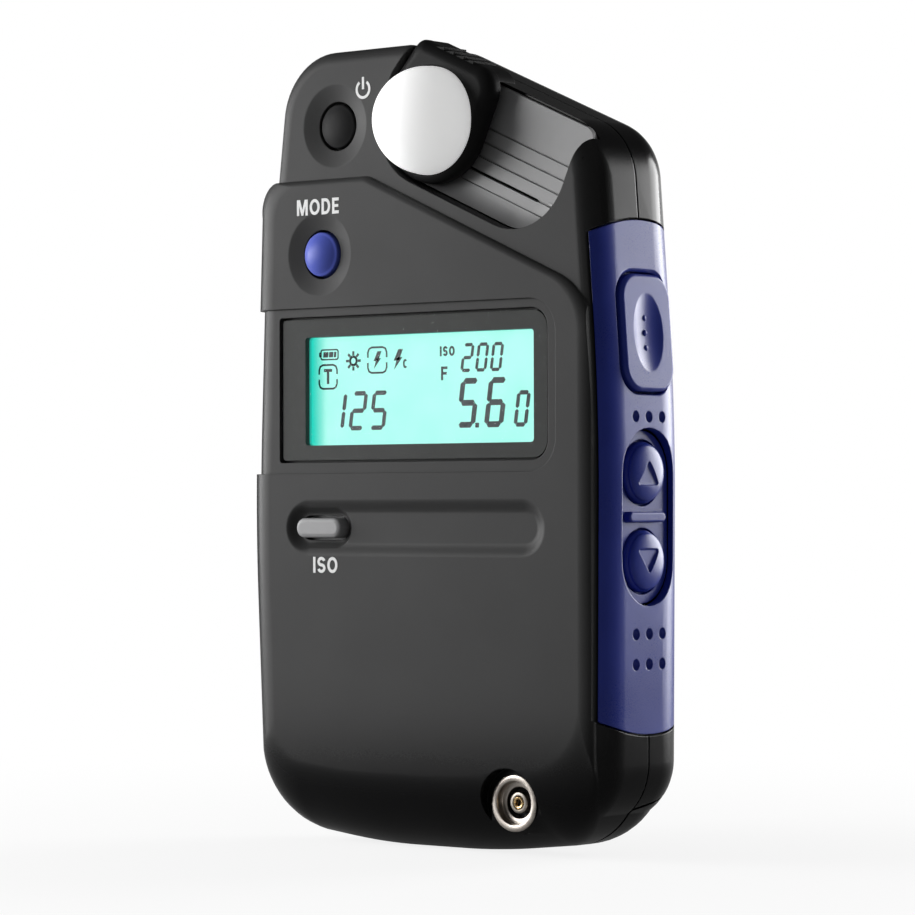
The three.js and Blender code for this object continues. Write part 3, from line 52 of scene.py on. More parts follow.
Ring = list[Vector]
Tool = Union["Form", "Carving", bpy.types.Object]

# How far in front of the seam plane a cutter starts, clear of the whole case
AHEAD = 12.0


def frame_shift() -> Vector:
    """Return how far the case's own millimetres lie from the row frame.

    Returns:
        The shift, in millimetres.
    """
    low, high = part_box("rear_shell")
    key_low, key_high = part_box("power_key")
    middle = (key_low.x + key_high.x) / (2 * MM)
    return Vector((middle - FrontKeySizes.power_x, high.y / MM - CaseSizes.back, 0.0))


# Outlines


def corner_arc(before: Vector, here: Vector, after: Vector, radius: float, steps: int) -> Ring:
    """Round one corner of an outline that runs anticlockwise.

    Args:
        before: the corner before this one.
        here: the corner.
        after: the corner after this one.
        radius: the radius of the rounding.
        steps: how many straight steps make the arc.

    Returns:
        The points of the arc, or the corner itself where the radius is zero.
    """
    if radius <= 0:
        return [here.copy()]
    into = (here - before).normalized()
    out = (after - here).normalized()
    turn = math.atan2(into.x * out.y - into.y * out.x, into.dot(out))
    reach = radius * math.tan(abs(turn) / 2)
    start = here - into * reach
    side = Vector((-into.y, into.x)) * math.copysign(radius, turn)
    centre = start + side
    points = []
    for step in range(steps + 1):
        angle = turn * step / steps
        spoke = start - centre
        points.append(centre + Vector((
            spoke.x * math.cos(angle) - spoke.y * math.sin(angle),
            spoke.x * math.sin(angle) + spoke.y * math.cos(angle),
        )))
    return points


def rounded(corners: Sequence[Sequence[float]], radii: Sequence[float], steps: int = 8) -> Ring:
    """Return an outline with rounded corners.

    Args:
        corners: the corners, anticlockwise.
        radii: one radius for each corner.
        steps: how many steps each arc has.

    Returns:
        The points of the outline.
    """
    places = [Vector(corner) for corner in corners]
    count = len(places)
    points: Ring = []
    for index, here in enumerate(places):
        after = places[(index + 1) % count]
        points += corner_arc(places[index - 1], here, after, radii[index], steps)
    return points


def oblong(left: float, right: float, foot: float, top: float, radius: float, steps: int = 8) -> Ring:
    """Return a rounded oblong given by its sides."""
    corners = [(left, foot), (right, foot), (right, top), (left, top)]
    return rounded(corners, [radius] * 4, steps)


def upright(half_width: float, half_height: float, radius: float, steps: int = 8) -> Ring:
    """Return a rounded oblong about the origin."""
    return oblong(-half_width, half_width, -half_height, half_height, radius, steps)


# Solid forms


@dataclass
class Form:
    """A closed form in the case's own millimetres."""

    points: list[Vector]
    faces: list[list[int]]

    def moved(self, x: float = 0, y: float = 0, z: float = 0) -> "Form":
        """Return the form moved by the given distances."""
        return Form([point + Vector((x, y, z)) for point in self.points], self.faces)

    def turned_by(self, matrix: Matrix) -> "Form":
        """Return the form under a matrix."""
        return Form([matrix @ point for point in self.points], self.faces)

    def mesh(self, name: str) -> bpy.types.Mesh:
        """Return a mesh of the form in metres, in the row frame, with its faces facing out.

        Args:
            name: the mesh's name.

        Returns:
            The mesh.
        """
        shift = frame_shift()
        mesh = bpy.data.meshes.new(name)
        mesh.from_pydata([(point + shift) * MM for point in self.points], [], self.faces)
        work = bmesh.new()
        work.from_mesh(mesh)
        bmesh.ops.remove_doubles(work, verts=work.verts, dist=1e-7)
        bmesh.ops.recalc_face_normals(work, faces=work.faces)
        work.to_mesh(mesh)
        work.free()
        return mesh

    def thing(self, name: str) -> bpy.types.Object:
        """Return a new object in the scene with the form's mesh."""
        return shown(name, self.mesh(name))


def shown(name: str, data: bpy.types.ID) -> bpy.types.Object:
    """Return a new object in the scene.

    Args:
        name: the object's name.
        data: its mesh, lamp or camera.

    Returns:
        The object.
    """
    made = bpy.data.objects.new(name, data)
    bpy.context.scene.collection.objects.link(made)
    return made


def discard(piece: bpy.types.Object) -> None:
    """Take an object and its mesh away again.

    Args:
        piece: the object.
    """
    mesh = piece.data
    bpy.data.objects.remove(piece)
    bpy.data.meshes.remove(mesh)


def front_ring(outline: Ring, y: float) -> Ring:
    """Stand an outline up, seen from the front, at a place along Y."""
    return [Vector((p.x, y, p.y)) for p in outline]


def side_ring(outline: Ring, x: float) -> Ring:
    """Stand an outline up, seen from the right side, at a place along X."""
    return [Vector((x, p.x, p.y)) for p in outline]


def loft(rings: Sequence[Sequence[Vector]]) -> Form:
    """Skin a stack of rings, closed at both ends.

    Args:
        rings: the rings, each with the same number of points.

    Returns:
        The skinned form.
    """
    count = len(rings[0])
    points = [point.copy() for ring in rings for point in ring]
    faces = []
    for layer in range(len(rings) - 1):
        for step in range(count):
            a = layer * count + step
            b = layer * count + (step + 1) % count
            faces.append([a, a + count, b + count, b])
    faces.append(list(range(count)))
    last = (len(rings) - 1) * count
    faces.append([last + step for step in reversed(range(count))])
    return Form(points, faces)


def front_plate(outline: Ring, front: float, back: float) -> Form:
    """Return a plate seen from the front, between two places along Y."""
    return loft([front_ring(outline, y) for y in (front, back)])


def side_plate(outline: Ring, left: float, right: float) -> Form:
    """Return a plate seen from the right side, between two places along X."""
    return loft([side_ring(outline, x) for x in (left, right)])


@dataclass(frozen=True)
class Cushion:
    """A plate with rounded rims: an outline that shrinks towards its faces."""

    shape: Callable[[float], Ring]
    foot: float
    top: float
    rim: float
    crown: float = 0.0
    steps: int = 6

    def rings(self) -> list[tuple[Ring, float]]:
        """Return each ring as its outline and its height.

        Returns:
            Pairs of outline and height, from the foot up.
        """
        layers = [(self.shape(0.0), self.foot)]
        for step in range(self.steps + 1):
            angle = math.pi / 2 * step / self.steps
            inset = self.rim * (1 - math.cos(angle))
            layers.append((self.shape(inset), self.top - self.rim * (1 - math.sin(angle))))
        if self.crown > 0:
            for step in range(1, 5):
                share = step / 5
                rise = self.crown * (1 - (1 - share) ** 2)
                layers.append((self.shape(self.rim + self.crown * 3 * share), self.top + rise))
        return layers

    def facing_front(self) -> Form:
        """Return the form with its top towards the front."""
        return loft([front_ring(ring, -height) for ring, height in self.rings()])

    def facing_right(self) -> Form:
        """Return the form with its top towards the right, along X."""
        return loft([side_ring(ring, height) for ring, height in self.rings()])


def turned(profile: Sequence[Sequence[float]], steps: int = 48) -> Form:
    """Turn a profile about Z.

    Args:
        profile: pairs of radius and height, closed on itself or on the axis.
        steps: how many steps a full turn has.

    Returns:
        The turned form.
    """
    points: list[Vector] = []
    faces: list[list[int]] = []
    rows: list[list[int]] = []
    closed = Vector(profile[0]) == Vector(profile[-1])
    for radius, height in (profile[:-1] if closed else profile):
        if radius <= 1e-9:
            rows.append([len(points)] * steps)
            points.append(Vector((0, 0, height)))
            continue
        rows.append(list(range(len(points), len(points) + steps)))
        for step in range(steps):
            angle = 2 * math.pi * step / steps
            points.append(Vector((radius * math.cos(angle), radius * math.sin(angle), height)))
    pairs = list(zip(rows, rows[1:] + ([rows[0]] if closed else [])))
    for low, high in (pairs if closed else pairs[: len(rows) - 1]):
        for step in range(steps):
            after = (step + 1) % steps
            corners = list(dict.fromkeys([low[step], low[after], high[after], high[step]]))
            if len(corners) > 2:
                faces.append(corners)
    return Form(points, faces)


def crown_arc(radius: float, foot: float, rise: float, steps: int = 10) -> list[tuple[float, float]]:
    """Return a stretch of an ellipse from the rim of a crown to its middle.

    Args:
        radius: where the arc starts, from the axis.
        foot: its height there.
        rise: how far it rises to the middle.
        steps: how many steps it has.

    Returns:
        Pairs of radius and height.
    """
    arc = [(radius * math.cos(math.pi / 2 * s / steps),
            foot + rise * math.sin(math.pi / 2 * s / steps)) for s in range(steps)]
    return arc + [(0.0, foot + rise)]


def rim_arc(radius: float, foot: float, rim: float, steps: int = 5) -> list[tuple[float, float]]:
    """Return a rounded outer rim that starts upright at foot and ends flat."""
    return [(radius - rim * (1 - math.cos(math.pi / 2 * s / steps)),
             foot + rim * math.sin(math.pi / 2 * s / steps)) for s in range(steps + 1)]


TO_FRONT = Matrix.Rotation(math.pi / 2, 4, "X")
TO_RIGHT = Matrix.Rotation(math.pi / 2, 4, "Y")


def facing_front(form: Form, x: float, z: float) -> Form:
    """Turn a form that stands along Z to the front; heights then run from the seam plane."""
    return form.turned_by(TO_FRONT).moved(x, 0, z)


def disc(radius: float, foot: float, top: float, steps: int = 48) -> Form:
    """Return a plain disc along Z, used to cut and to back other forms."""
    return turned([(0, foot), (radius, foot), (radius, top), (0, top)], steps)


def front_disc(radius: float, foot: float, top: float, x: float, z: float, steps: int = 48) -> Form:
    """Return a disc that faces the front; its heights run from the seam plane."""
    return facing_front(disc(radius, foot, top, steps), x, z)


# Carving


class Cutting(Enum):
    """What a boolean step does with its tools."""

    JOIN = "UNION"
    CUT = "DIFFERENCE"
    KEEP = "INTERSECT"


class Carving:
    """A piece that is joined and cut step by step, and then becomes one clean mesh."""

    def __init__(self, name: str, start: "Form | Carving") -> None:
        """Start from a form, or from a copy of another carving."""
        copied = isinstance(start, Carving)
        self.piece = shown(name, start.piece.data.copy() if copied else start.mesh(name))

    def step(self, how: Cutting, *forms: "Tool") -> "Carving":
        """Join or cut with forms, one after the other.

        Args:
            how: what is done.
            forms: the tools; a form or a carving is used up, and an object stays.

        Returns:
            The carving itself, so that steps can follow each other.
        """
        spent = []
        for index, form in enumerate(forms):
            tool = form
            if isinstance(form, Form):
                tool = form.thing(f"tool_{index}")
            elif isinstance(form, Carving):
                tool = form.piece
            if tool is not form:
                spent.append(tool)
            change = self.piece.modifiers.new(f"step_{index}", "BOOLEAN")
            change.operation = how.value
            change.solver = "MANIFOLD"
            change.object = tool
        settle(self.piece)
        for tool in spent:
            discard(tool)
        return self

    def join(self, *forms: "Tool") -> "Carving":
        """Join forms to the piece."""
        return self.step(Cutting.JOIN, *forms)

    def cut(self, *forms: "Tool") -> "Carving":
        """Cut forms from the piece."""
        return self.step(Cutting.CUT, *forms)

    def keep(self, form: "Tool") -> "Carving":
        """Keep only what lies inside the form."""
        return self.step(Cutting.KEEP, form)

    def rename(self, name: str) -> "Carving":
        """Give the piece its final name."""
        self.piece.name = name
        return self

    def done(self, angle: float = 32.0) -> bpy.types.Object:
        """Smooth the piece and return it."""
        return soften(self.piece, angle)


def settle(piece: bpy.types.Object) -> None:
    """Write the result of a piece's modifiers into its own mesh.

    Args:
        piece: the piece.
    """
    view = bpy.context.evaluated_depsgraph_get()
    old = piece.data
    new = bpy.data.meshes.new_from_object(piece.evaluated_get(view))
    piece.modifiers.clear()
    piece.data = new
    new.name = piece.name
    if old.users == 0:
        bpy.data.meshes.remove(old)


def crumbs(work: bmesh.types.BMesh) -> list[bmesh.types.BMFace]:
    """Return the faces that a cut leaves by themselves, too few to close a solid.

    Args:
        work: the mesh.

    Returns:
        The faces to delete.
    """
    seen: set[bmesh.types.BMFace] = set()
    loose: list[bmesh.types.BMFace] = []
    for start in work.faces:
        if start in seen:
            continue
        island = [start]
        seen.add(start)
        for face in island:
            beside = {other for edge in face.edges for other in edge.link_faces} - seen
            seen |= beside
            island.extend(sorted(beside, key=lambda other: other.index))
        if len(island) < 4:
            loose += island
    return loose


def soften(piece: bpy.types.Object, angle: float = 32.0) -> bpy.types.Object:
    """Smooth a piece's curved faces and keep its flat faces and creases.

    Args:
        piece: the piece.
        angle: the sharpest bend, in degrees, that still looks round.

    Returns:
        The piece.
    """
    work = bmesh.new()
    work.from_mesh(piece.data)
    bmesh.ops.remove_doubles(work, verts=work.verts, dist=2e-7)
    bmesh.ops.dissolve_degenerate(work, edges=work.edges, dist=1e-7)
    bmesh.ops.delete(work, geom=crumbs(work), context="FACES")
    work.to_mesh(piece.data)
    work.free()
    piece.data.shade_smooth()
    piece.data.set_sharp_from_angle(angle=math.radians(angle))
    weigh = piece.modifiers.new("flat_faces", "WEIGHTED_NORMAL")
    weigh.keep_sharp = True
    weigh.weight = 80
    settle(piece)
    return piece


def place(piece: bpy.types.Object, body: str, slot: str, finish: "Finish",
          *nodes: str) -> bpy.types.Object:
    """Dress a piece and seat it on its body.

    Args:
        piece: the piece.
        body: the CAD body that it rides on.
        slot: the record's material slot; not used.
        finish: what it is made of.
        nodes: the CAD nodes that it stands for.

    Returns:
        The piece.
    """
    piece.data.materials.clear()
    piece.data.materials.append(finish.material())
    if nodes:
        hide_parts(*nodes)
    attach(piece, body)
    LOG.info("%s rides on %s", piece.name, body)
    return piece


def dress(node: str, finish: "Finish") -> None:
    """Give a CAD node that stays a finish of its own.

    Args:
        node: the CAD node's name.
        finish: what it is made of.
    """
    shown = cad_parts[node]
    shown.data.materials.clear()
    shown.data.materials.append(finish.material())
    LOG.info("%s dressed", node)


# Shader sums


Value = Union["Link", float, tuple]


class Link:
    """An output socket that takes part in sums; each sum adds a Math node."""

    def __init__(self, graph: "Graph", socket: bpy.types.NodeSocket) -> None:
        """Hold one output socket of a graph."""
        self.graph = graph
        self.socket = socket

    def math(self, operation: str, first: Value, second: Value = 0.0) -> "Link":
        """Return the result of one Math node."""
        return self.graph.add("ShaderNodeMath", {"operation": operation}, {0: first, 1: second})

    def __add__(self, other: Value) -> "Link":
        """Return self + other."""
        return self.math("ADD", self, other)

    def __sub__(self, other: Value) -> "Link":
        """Return self - other."""
        return self.math("SUBTRACT", self, other)

    def __rsub__(self, other: Value) -> "Link":
        """Return other - self."""
        return self.math("SUBTRACT", other, self)

    def __mul__(self, other: Value) -> "Link":
        """Return self * other."""
        return self.math("MULTIPLY", self, other)

    def __truediv__(self, other: Value) -> "Link":
        """Return self / other."""
        return self.math("DIVIDE", self, other)

    __radd__ = __add__
    __rmul__ = __mul__

    def above(self, level: float) -> "Link":
        """Return 1 where the value is above a level and 0 elsewhere."""
        return self.math("GREATER_THAN", self, level)

    def power(self, exponent: float) -> "Link":
        """Return the value raised to an exponent."""
        return self.math("POWER", self, exponent)

    def either(self, other: Value) -> "Link":
        """Return the larger of two values."""
        return self.math("MAXIMUM", self, other)

    def steps(self, low: float, high: float) -> "Link":
        """Return a smooth rise from 0 at low to 1 at high."""
        return self.graph.add(
            "ShaderNodeMapRange", {"interpolation_type": "SMOOTHSTEP"}, {0: self, 1: low, 2: high})


class Graph:
    """The node tree of one material or world."""

    def __init__(self, holder: Union[bpy.types.Material, bpy.types.World]) -> None:
        """Start an empty tree.

        Args:
            holder: the material or world.
        """
        holder.use_nodes = True
        self.tree = holder.node_tree
        self.tree.nodes.clear()
        world = isinstance(holder, bpy.types.World)
        self.output = "ShaderNodeOutputWorld" if world else "ShaderNodeOutputMaterial"

    def add(self, kind: str, settings: dict | None = None, sockets: dict | None = None,
            out: Union[int, str] = 0) -> Link:
        """Add one node.

        Args:
            kind: the node's type.
            settings: its own settings, set first; stops are a ramp's places and colours.
            sockets: values or links for its inputs, by name or number.
            out: which output is wanted.

        Returns:
            The wanted output.
        """
        node = self.tree.nodes.new(kind)
        for key, value in (settings or {}).items():
            if key == "stops":
                ramp = node.color_ramp
                while len(ramp.elements) < len(value):
                    ramp.elements.new(0.5)
                for element, (place, colour) in zip(ramp.elements, value):
                    element.position = place
                    element.color = (*colour, 1.0)
            else:
                setattr(node, key, value)
        for key, value in (sockets or {}).items():
            if isinstance(value, Link):
                self.tree.links.new(value.socket, node.inputs[key])
            elif node.inputs[key].type == "RGBA" and len(value) == 3:
                node.inputs[key].default_value = (*value, 1.0)
            else:
                node.inputs[key].default_value = value
        return Link(self, node.outputs[out])

    def here(self) -> Link:
        """Return the place on the piece, in metres."""
        return self.add("ShaderNodeTexCoord", out="Object")

    def axes(self, spot: Link | None = None) -> tuple[Link, Link, Link]:
        """Return the three coordinates of a place.

        Args:
            spot: the place, or nothing for the place on the piece.

        Returns:
            The coordinates along X, Y and Z.
        """
        apart = self.add("ShaderNodeSeparateXYZ", sockets={0: spot or self.here()})
        outputs = apart.socket.node.outputs
        return Link(self, outputs[0]), Link(self, outputs[1]), Link(self, outputs[2])

    def rays(self) -> Callable[[str], Link]:
        """Return a look-up of the kinds of ray, such as Camera or Glossy."""
        outputs = self.add("ShaderNodeLightPath").socket.node.outputs
        return lambda kind: Link(self, outputs[f"Is {kind} Ray"])

    def noise(self, size: float, detail: float = 3.0, roughness: float = 0.55,
              warp: float = 0.0) -> Link:
        """Return cloudy noise.

        Args:
            size: about how many millimetres a cloud measures.
            detail: how many finer layers it has.
            roughness: how strong the finer layers are.
            warp: how far it is bent by itself.

        Returns:
            A value about 0.5.
        """
        return self.add("ShaderNodeTexNoise", sockets={
            "Vector": self.here(), "Scale": 1 / (size * MM), "Detail": detail,
            "Roughness": roughness, "Distortion": warp})

    def cells(self, size: float, feature: str, scatter: float) -> Link:
        """Return the distance to the nearest point or border of a scatter."""
        return self.add("ShaderNodeTexVoronoi", {"feature": feature}, {
            "Vector": self.here(), "Scale": 1 / (size * MM), "Randomness": scatter})

    def streaks(self, along: float, across: float, axis: int) -> Link:
        """Return noise drawn out along one axis.

        Args:
            along: how many millimetres a streak runs.
            across: how many millimetres wide it is.
            axis: the axis that it runs along, 0 to 2.

        Returns:
            A value about 0.5.
        """
        scale = [1 / (across * MM)] * 3
        scale[axis] = 1 / (along * MM)
        spread = self.add("ShaderNodeVectorMath", {"operation": "MULTIPLY"},
                          {0: self.here(), 1: tuple(scale)})
        return self.add("ShaderNodeTexNoise", sockets={"Vector": spread, "Scale": 1.0, "Detail": 3.0})

    def blend(self, factor: Value, first: Value, second: Value) -> Link:
        """Mix two colours."""
        return self.add("ShaderNodeMix", {"data_type": "RGBA"}, {0: factor, 6: first, 7: second},
                        out=2)

    def edges(self, radius: float) -> tuple[Link, Link]:
        """Return a softened normal and how much it leaves the true one.

        Args:
            radius: how far from an edge it turns, in millimetres.

        Returns:
            The normal, and a value that is 0 on flats and rises at edges.
        """
        soft = self.add("ShaderNodeBevel", {"samples": 6}, {"Radius": radius * MM})
        true = self.add("ShaderNodeNewGeometry", out="Normal")
        alike = self.add("ShaderNodeVectorMath", {"operation": "DOT_PRODUCT"}, {0: soft, 1: true},
                         out="Value")
        return soft, 1 - alike

    def bump(self, height: Value, distance: float, strength: float,
             normal: Link | None = None) -> Link:
        """Return a normal that follows a height.

        Args:
            height: the height, 0 to 1.
            distance: how far 1 stands up, in millimetres.
            strength: how strongly it shows.
            normal: the normal that it starts from.

        Returns:
            The new normal.
        """
        sockets = {"Height": height, "Distance": distance * MM, "Strength": strength}
        if normal is not None:
            sockets["Normal"] = normal
        return self.add("ShaderNodeBump", sockets=sockets)

    def mixed(self, factor: Link, first: Link, second: Link) -> Link:
        """Mix two shaders."""
        return self.add("ShaderNodeMixShader", sockets={0: factor, 1: first, 2: second})

    def principled(self, **sockets: Value) -> Link:
        """Return a Principled shader; underscores in names stand for spaces."""
        named = {key.replace("_", " "): value for key, value in sockets.items()}
        return self.add("ShaderNodeBsdfPrincipled", sockets=named)

    def finish(self, shader: Link) -> None:
        """Send a shader to the output."""
        target = self.tree.nodes.new(self.output)
        self.tree.links.new(shader.socket, target.inputs["Surface"])


# Finishes


Colour = tuple[float, float, float]
MADE: dict[str, bpy.types.Material] = {}


def darker(colour: Colour, share: float) -> Colour:
    """Return a colour at a share of its brightness."""
    return (colour[0] * share, colour[1] * share, colour[2] * share)


@dataclass(frozen=True)
class Finish:
    """What every finish has: a name, and one material that all its pieces share."""

    name: str

    def shade(self, graph: Graph) -> Link:
        """Return the shader of this finish."""
        raise NotImplementedError

    def material(self) -> bpy.types.Material:
        """Return the finish's material, made at its first use.

        Returns:
            The material.
        """
        if self.name not in MADE:
            MADE[self.name] = bpy.data.materials.new(self.name)
            graph = Graph(MADE[self.name])
            graph.finish(self.shade(graph))
        return MADE[self.name]


@dataclass(frozen=True)
class MouldedPlastic(Finish):
    """Moulded plastic with a fine spark-eroded grain and slightly polished edges."""

    colour: Colour
    roughness: float = 0.5
    grain: float = 0.16
    relief: float = 0.012
    round_edge: float = 0.14
    specular: float = 0.35

    def shade(self, graph: Graph) -> Link:
        """Return the shader: grain in the normal, drifts of tone, paler rubbed edges.

        Args:
            graph: the material's tree.

        Returns:
            The shader.
        """
        grain = graph.noise(self.grain, 2.0, 0.6)
        drift = graph.noise(14.0, 3.0)
        rubs = graph.noise(1.6, 4.0, 0.7)
        normal, edge = graph.edges(self.round_edge)
        worn = edge.steps(0.05, 0.45) * rubs.steps(0.4, 0.7) * 0.5
        base = graph.blend(drift.steps(0.35, 0.65), darker(self.colour, 0.93),
                           darker(self.colour, 1.07))
        pale = tuple(min(channel * 1.7 + 0.012, 1.0) for channel in self.colour)
        speck = graph.blend(grain.steps(0.62, 0.78) * 0.5, base, darker(self.colour, 1.25))
        tone = graph.blend(worn, speck, pale)
        roughness = self.roughness + (drift - 0.5) * 0.12 + (grain - 0.5) * 0.16 - worn * 0.18
        bumped = graph.bump(grain, self.relief, 0.55, normal)
        return graph.principled(Base_Color=tone, Roughness=roughness, Normal=bumped,
                                Specular_IOR_Level=self.specular)


@dataclass(frozen=True)
class CasePlastic(Finish):
    """The case's plastic: a matte grained front that turns into smooth black sides; the front's paler
    grey is partly painted light and sheen, and it darkens towards the foot as painted shade.
    """

    front: Colour
    side: Colour
    grain: float = 0.15

    def shade(self, graph: Graph) -> Link:
        """Return the shader.

        Args:
            graph: the material's tree.

        Returns:
            The shader.
        """
        shift = frame_shift()
        x, y, z = graph.axes()
        drift = graph.noise(14.0, 3.0)
        grain = graph.noise(self.grain, 2.0, 0.6)
        rubs = graph.noise(1.6, 4.0, 0.7)
        depth = y / MM - shift.y + (drift - 0.5) * 0.3
        # painted light: the front gets a paler grey than the black sides; partly a real matte grain,
        # partly the front lamp's light and sheen painted in
        face = (1 - depth.steps(-9.9, -6.4)) * (x / MM - shift.x).steps(-31.6, -26.5)
        # painted shade: the front fades to the sides' black towards the foot, from 25 mm down to 6.5
        # mm; partly a real glossy foot, partly painted shade under the lower rounding
        matt_and_lit = (face + depth.steps(CASE.back - 3.5, CASE.back - 0.5) * 0.6) * (z / MM).steps(6.5, 25.0)
        normal, edge = graph.edges(0.16)
        worn = edge.steps(0.05, 0.45) * rubs.steps(0.4, 0.7) * 0.45
        plain = graph.blend(matt_and_lit, self.side, self.front)
        base = graph.blend(drift.steps(0.35, 0.65) * 0.5, plain,
                           graph.blend(matt_and_lit, darker(self.side, 0.8), darker(self.front, 0.88)))
        speck = graph.blend(grain.steps(0.6, 0.78) * matt_and_lit * 0.5, base, darker(self.front, 1.35))
        tone = graph.blend(worn, speck, darker(self.front, 1.6))
        roughness = matt_and_lit * 0.28 + 0.2 + (drift - 0.5) * 0.08 + (grain - 0.5) * 0.14 - worn * 0.1
        bumped = graph.bump(grain * (matt_and_lit * 0.75 + 0.25), 0.014, 0.6, normal)
        return graph.principled(Base_Color=tone, Roughness=roughness, Normal=bumped,
                                Specular_IOR_Level=0.11)


@dataclass(frozen=True)
class GlowingOpalPlastic(Finish):
    """Milky plastic that spreads light, with faint clouds, a satin skin and a faint painted glow of its
    own.
    """

    colour: Colour
    roughness: float = 0.38

    def shade(self, graph: Graph) -> Link:
        """Return the shader.

        Args:
            graph: the material's tree.

        Returns:
            The shader.
        """
        cloud = graph.noise(3.5, 4.0, 0.6)
        fine = graph.noise(0.25, 2.0)
        tone = graph.blend(cloud.steps(0.3, 0.7), darker(self.colour, 0.975), self.colour)
        normal, _ = graph.edges(0.2)
        # painted light: a faint white glow of its own, standing in for light that passes through the
        # milky plastic
        return graph.principled(
            Base_Color=tone, Roughness=self.roughness + (fine - 0.5) * 0.12,
            Normal=graph.bump(fine, 0.006, 0.4, normal), Subsurface_Weight=0.6,
            Subsurface_Radius=(0.004, 0.004, 0.0038), Subsurface_Scale=1.0, Specular_IOR_Level=0.4,
            Emission_Color=(1.0, 1.0, 1.0, 1.0), Emission_Strength=0.4)


@dataclass(frozen=True)
class ClearPane(Finish):
    """A clear pane: it lets what lies behind show and mirrors a little, with faint dust."""

    tint: Colour
    roughness: float = 0.04

    def shade(self, graph: Graph) -> Link:
        """Return the shader.

        Args:
            graph: the material's tree.

        Returns:
            The shader.
        """
        dust = graph.noise(0.3, 2.0).steps(0.66, 0.8)
        clear = graph.add("ShaderNodeBsdfTransparent", sockets={"Color": self.tint})
        gloss = graph.principled(Base_Color=(0.02, 0.02, 0.02),
                                 Roughness=self.roughness + dust * 0.12, Specular_IOR_Level=0.5)
        mirror = graph.add("ShaderNodeFresnel", sockets={"IOR": 1.3})
        return graph.mixed(mirror * 0.14 + dust * 0.004, clear, gloss)


@dataclass(frozen=True)
class LitPanel(Finish):
    """A back-lit display: pale and even, deeper at its left end, with faint clouds."""

    pale: Colour
    deep: Colour
    left: float
    reach: float
    glow: float = 1.0

    def shade(self, graph: Graph) -> Link:
        """Return the shader.

        Args:
            graph: the material's tree.

        Returns:
            The shader.
        """
        x, _, z = graph.axes()
        cloud = graph.noise(9.0, 2.0)
        fade = (x / MM - self.left + (cloud - 0.5) * 0.8).steps(0.0, self.reach)
        tone = graph.blend(fade, self.deep, self.pale)
        even = graph.blend(cloud.steps(0.3, 0.7) * 0.16, tone, self.deep)
        fine = graph.noise(0.12, 1.0)
        return graph.principled(
            Base_Color=(0.03, 0.06, 0.055), Emission_Color=even, Emission_Strength=self.glow,
            Roughness=0.3 + fine * 0.1, Specular_IOR_Level=0.2)


@dataclass(frozen=True)
class InkLayer(Finish):
    """A printed or switched-on dark layer with a slightly uneven coat."""

    colour: Colour
    roughness: float = 0.4

    def shade(self, graph: Graph) -> Link:
        """Return the shader.

        Args:
            graph: the material's tree.

        Returns:
            The shader.
        """
        coat = graph.noise(0.2, 3.0)
        tone = graph.blend(coat.steps(0.35, 0.65), darker(self.colour, 0.9), self.colour)
        return graph.principled(Base_Color=tone, Roughness=self.roughness + (coat - 0.5) * 0.2,
                                Specular_IOR_Level=0.3)


@dataclass(frozen=True)
class Plated(Finish):
    """Plated metal: turned lines, faint clouds, and small marks."""

    colour: Colour
    roughness: float = 0.2
    lines: float = 0.05
    round_edge: float = 0.1

    def shade(self, graph: Graph) -> Link:
        """Return the shader.

        Args:
            graph: the material's tree.

        Returns:
            The shader.
        """
        cloud = graph.noise(0.9, 4.0, 0.6)
        brushed = graph.streaks(4.0, self.lines, 0)
        marks = graph.noise(0.35, 3.0, 0.6, 1.2).steps(0.64, 0.72)
        tone = graph.blend(cloud.steps(0.3, 0.7), darker(self.colour, 0.86), self.colour)
        dull = graph.blend(marks * 0.4, tone, darker(self.colour, 0.55))
        normal, _ = graph.edges(self.round_edge)
        return graph.principled(
            Base_Color=dull, Metallic=1.0,
            Roughness=self.roughness + (cloud - 0.5) * 0.16 + marks * 0.14,
            Normal=graph.bump(brushed, 0.004, 0.35, normal))


@dataclass(frozen=True)
class CircuitBoard(Finish):
    """Solder-masked board: tracks under green lacquer, with plated dots."""

    lacquer: Colour = (0.004, 0.024, 0.011)
    track: Colour = (0.009, 0.046, 0.02)
    copper: Colour = (0.62, 0.5, 0.28)
    pitch: float = 1.9
    scatter: float = 0.35

    def shade(self, graph: Graph) -> Link:
        """Return the shader.

        Args:
            graph: the material's tree.

        Returns:
            The shader.
        """
        lanes = graph.cells(self.pitch, "DISTANCE_TO_EDGE", self.scatter)
        dots = graph.cells(self.pitch, "F1", self.scatter)
        track = 1 - lanes.steps(0.05, 0.08)
        pad = 1 - dots.steps(0.12, 0.15)
        tone = graph.blend(pad, graph.blend(track, self.lacquer, self.track), self.copper)
        return graph.principled(
            Base_Color=tone, Metallic=pad * 0.9, Roughness=0.34 + graph.noise(0.5) * 0.1,
            Normal=graph.bump(track * 0.6 + pad, 0.03, 0.6))


@dataclass(frozen=True)
class CellSleeve(Finish):
    """The shrunk sleeve of a cell: two bare bands of colour under a clear skin."""

    body: Colour
    band: Colour
    border: float

    def shade(self, graph: Graph) -> Link:
        """Return the shader.

        Args:
            graph: the material's tree.

        Returns:
            The shader.
        """
        x, _, _ = graph.axes()
        shrink = graph.streaks(9.0, 0.7, 0)
        tone = graph.blend((x / MM).above(self.border), self.body, self.band)
        return graph.principled(
            Base_Color=tone, Roughness=0.26 + shrink * 0.16, Coat_Weight=0.5,
            Normal=graph.bump(shrink, 0.02, 0.4))


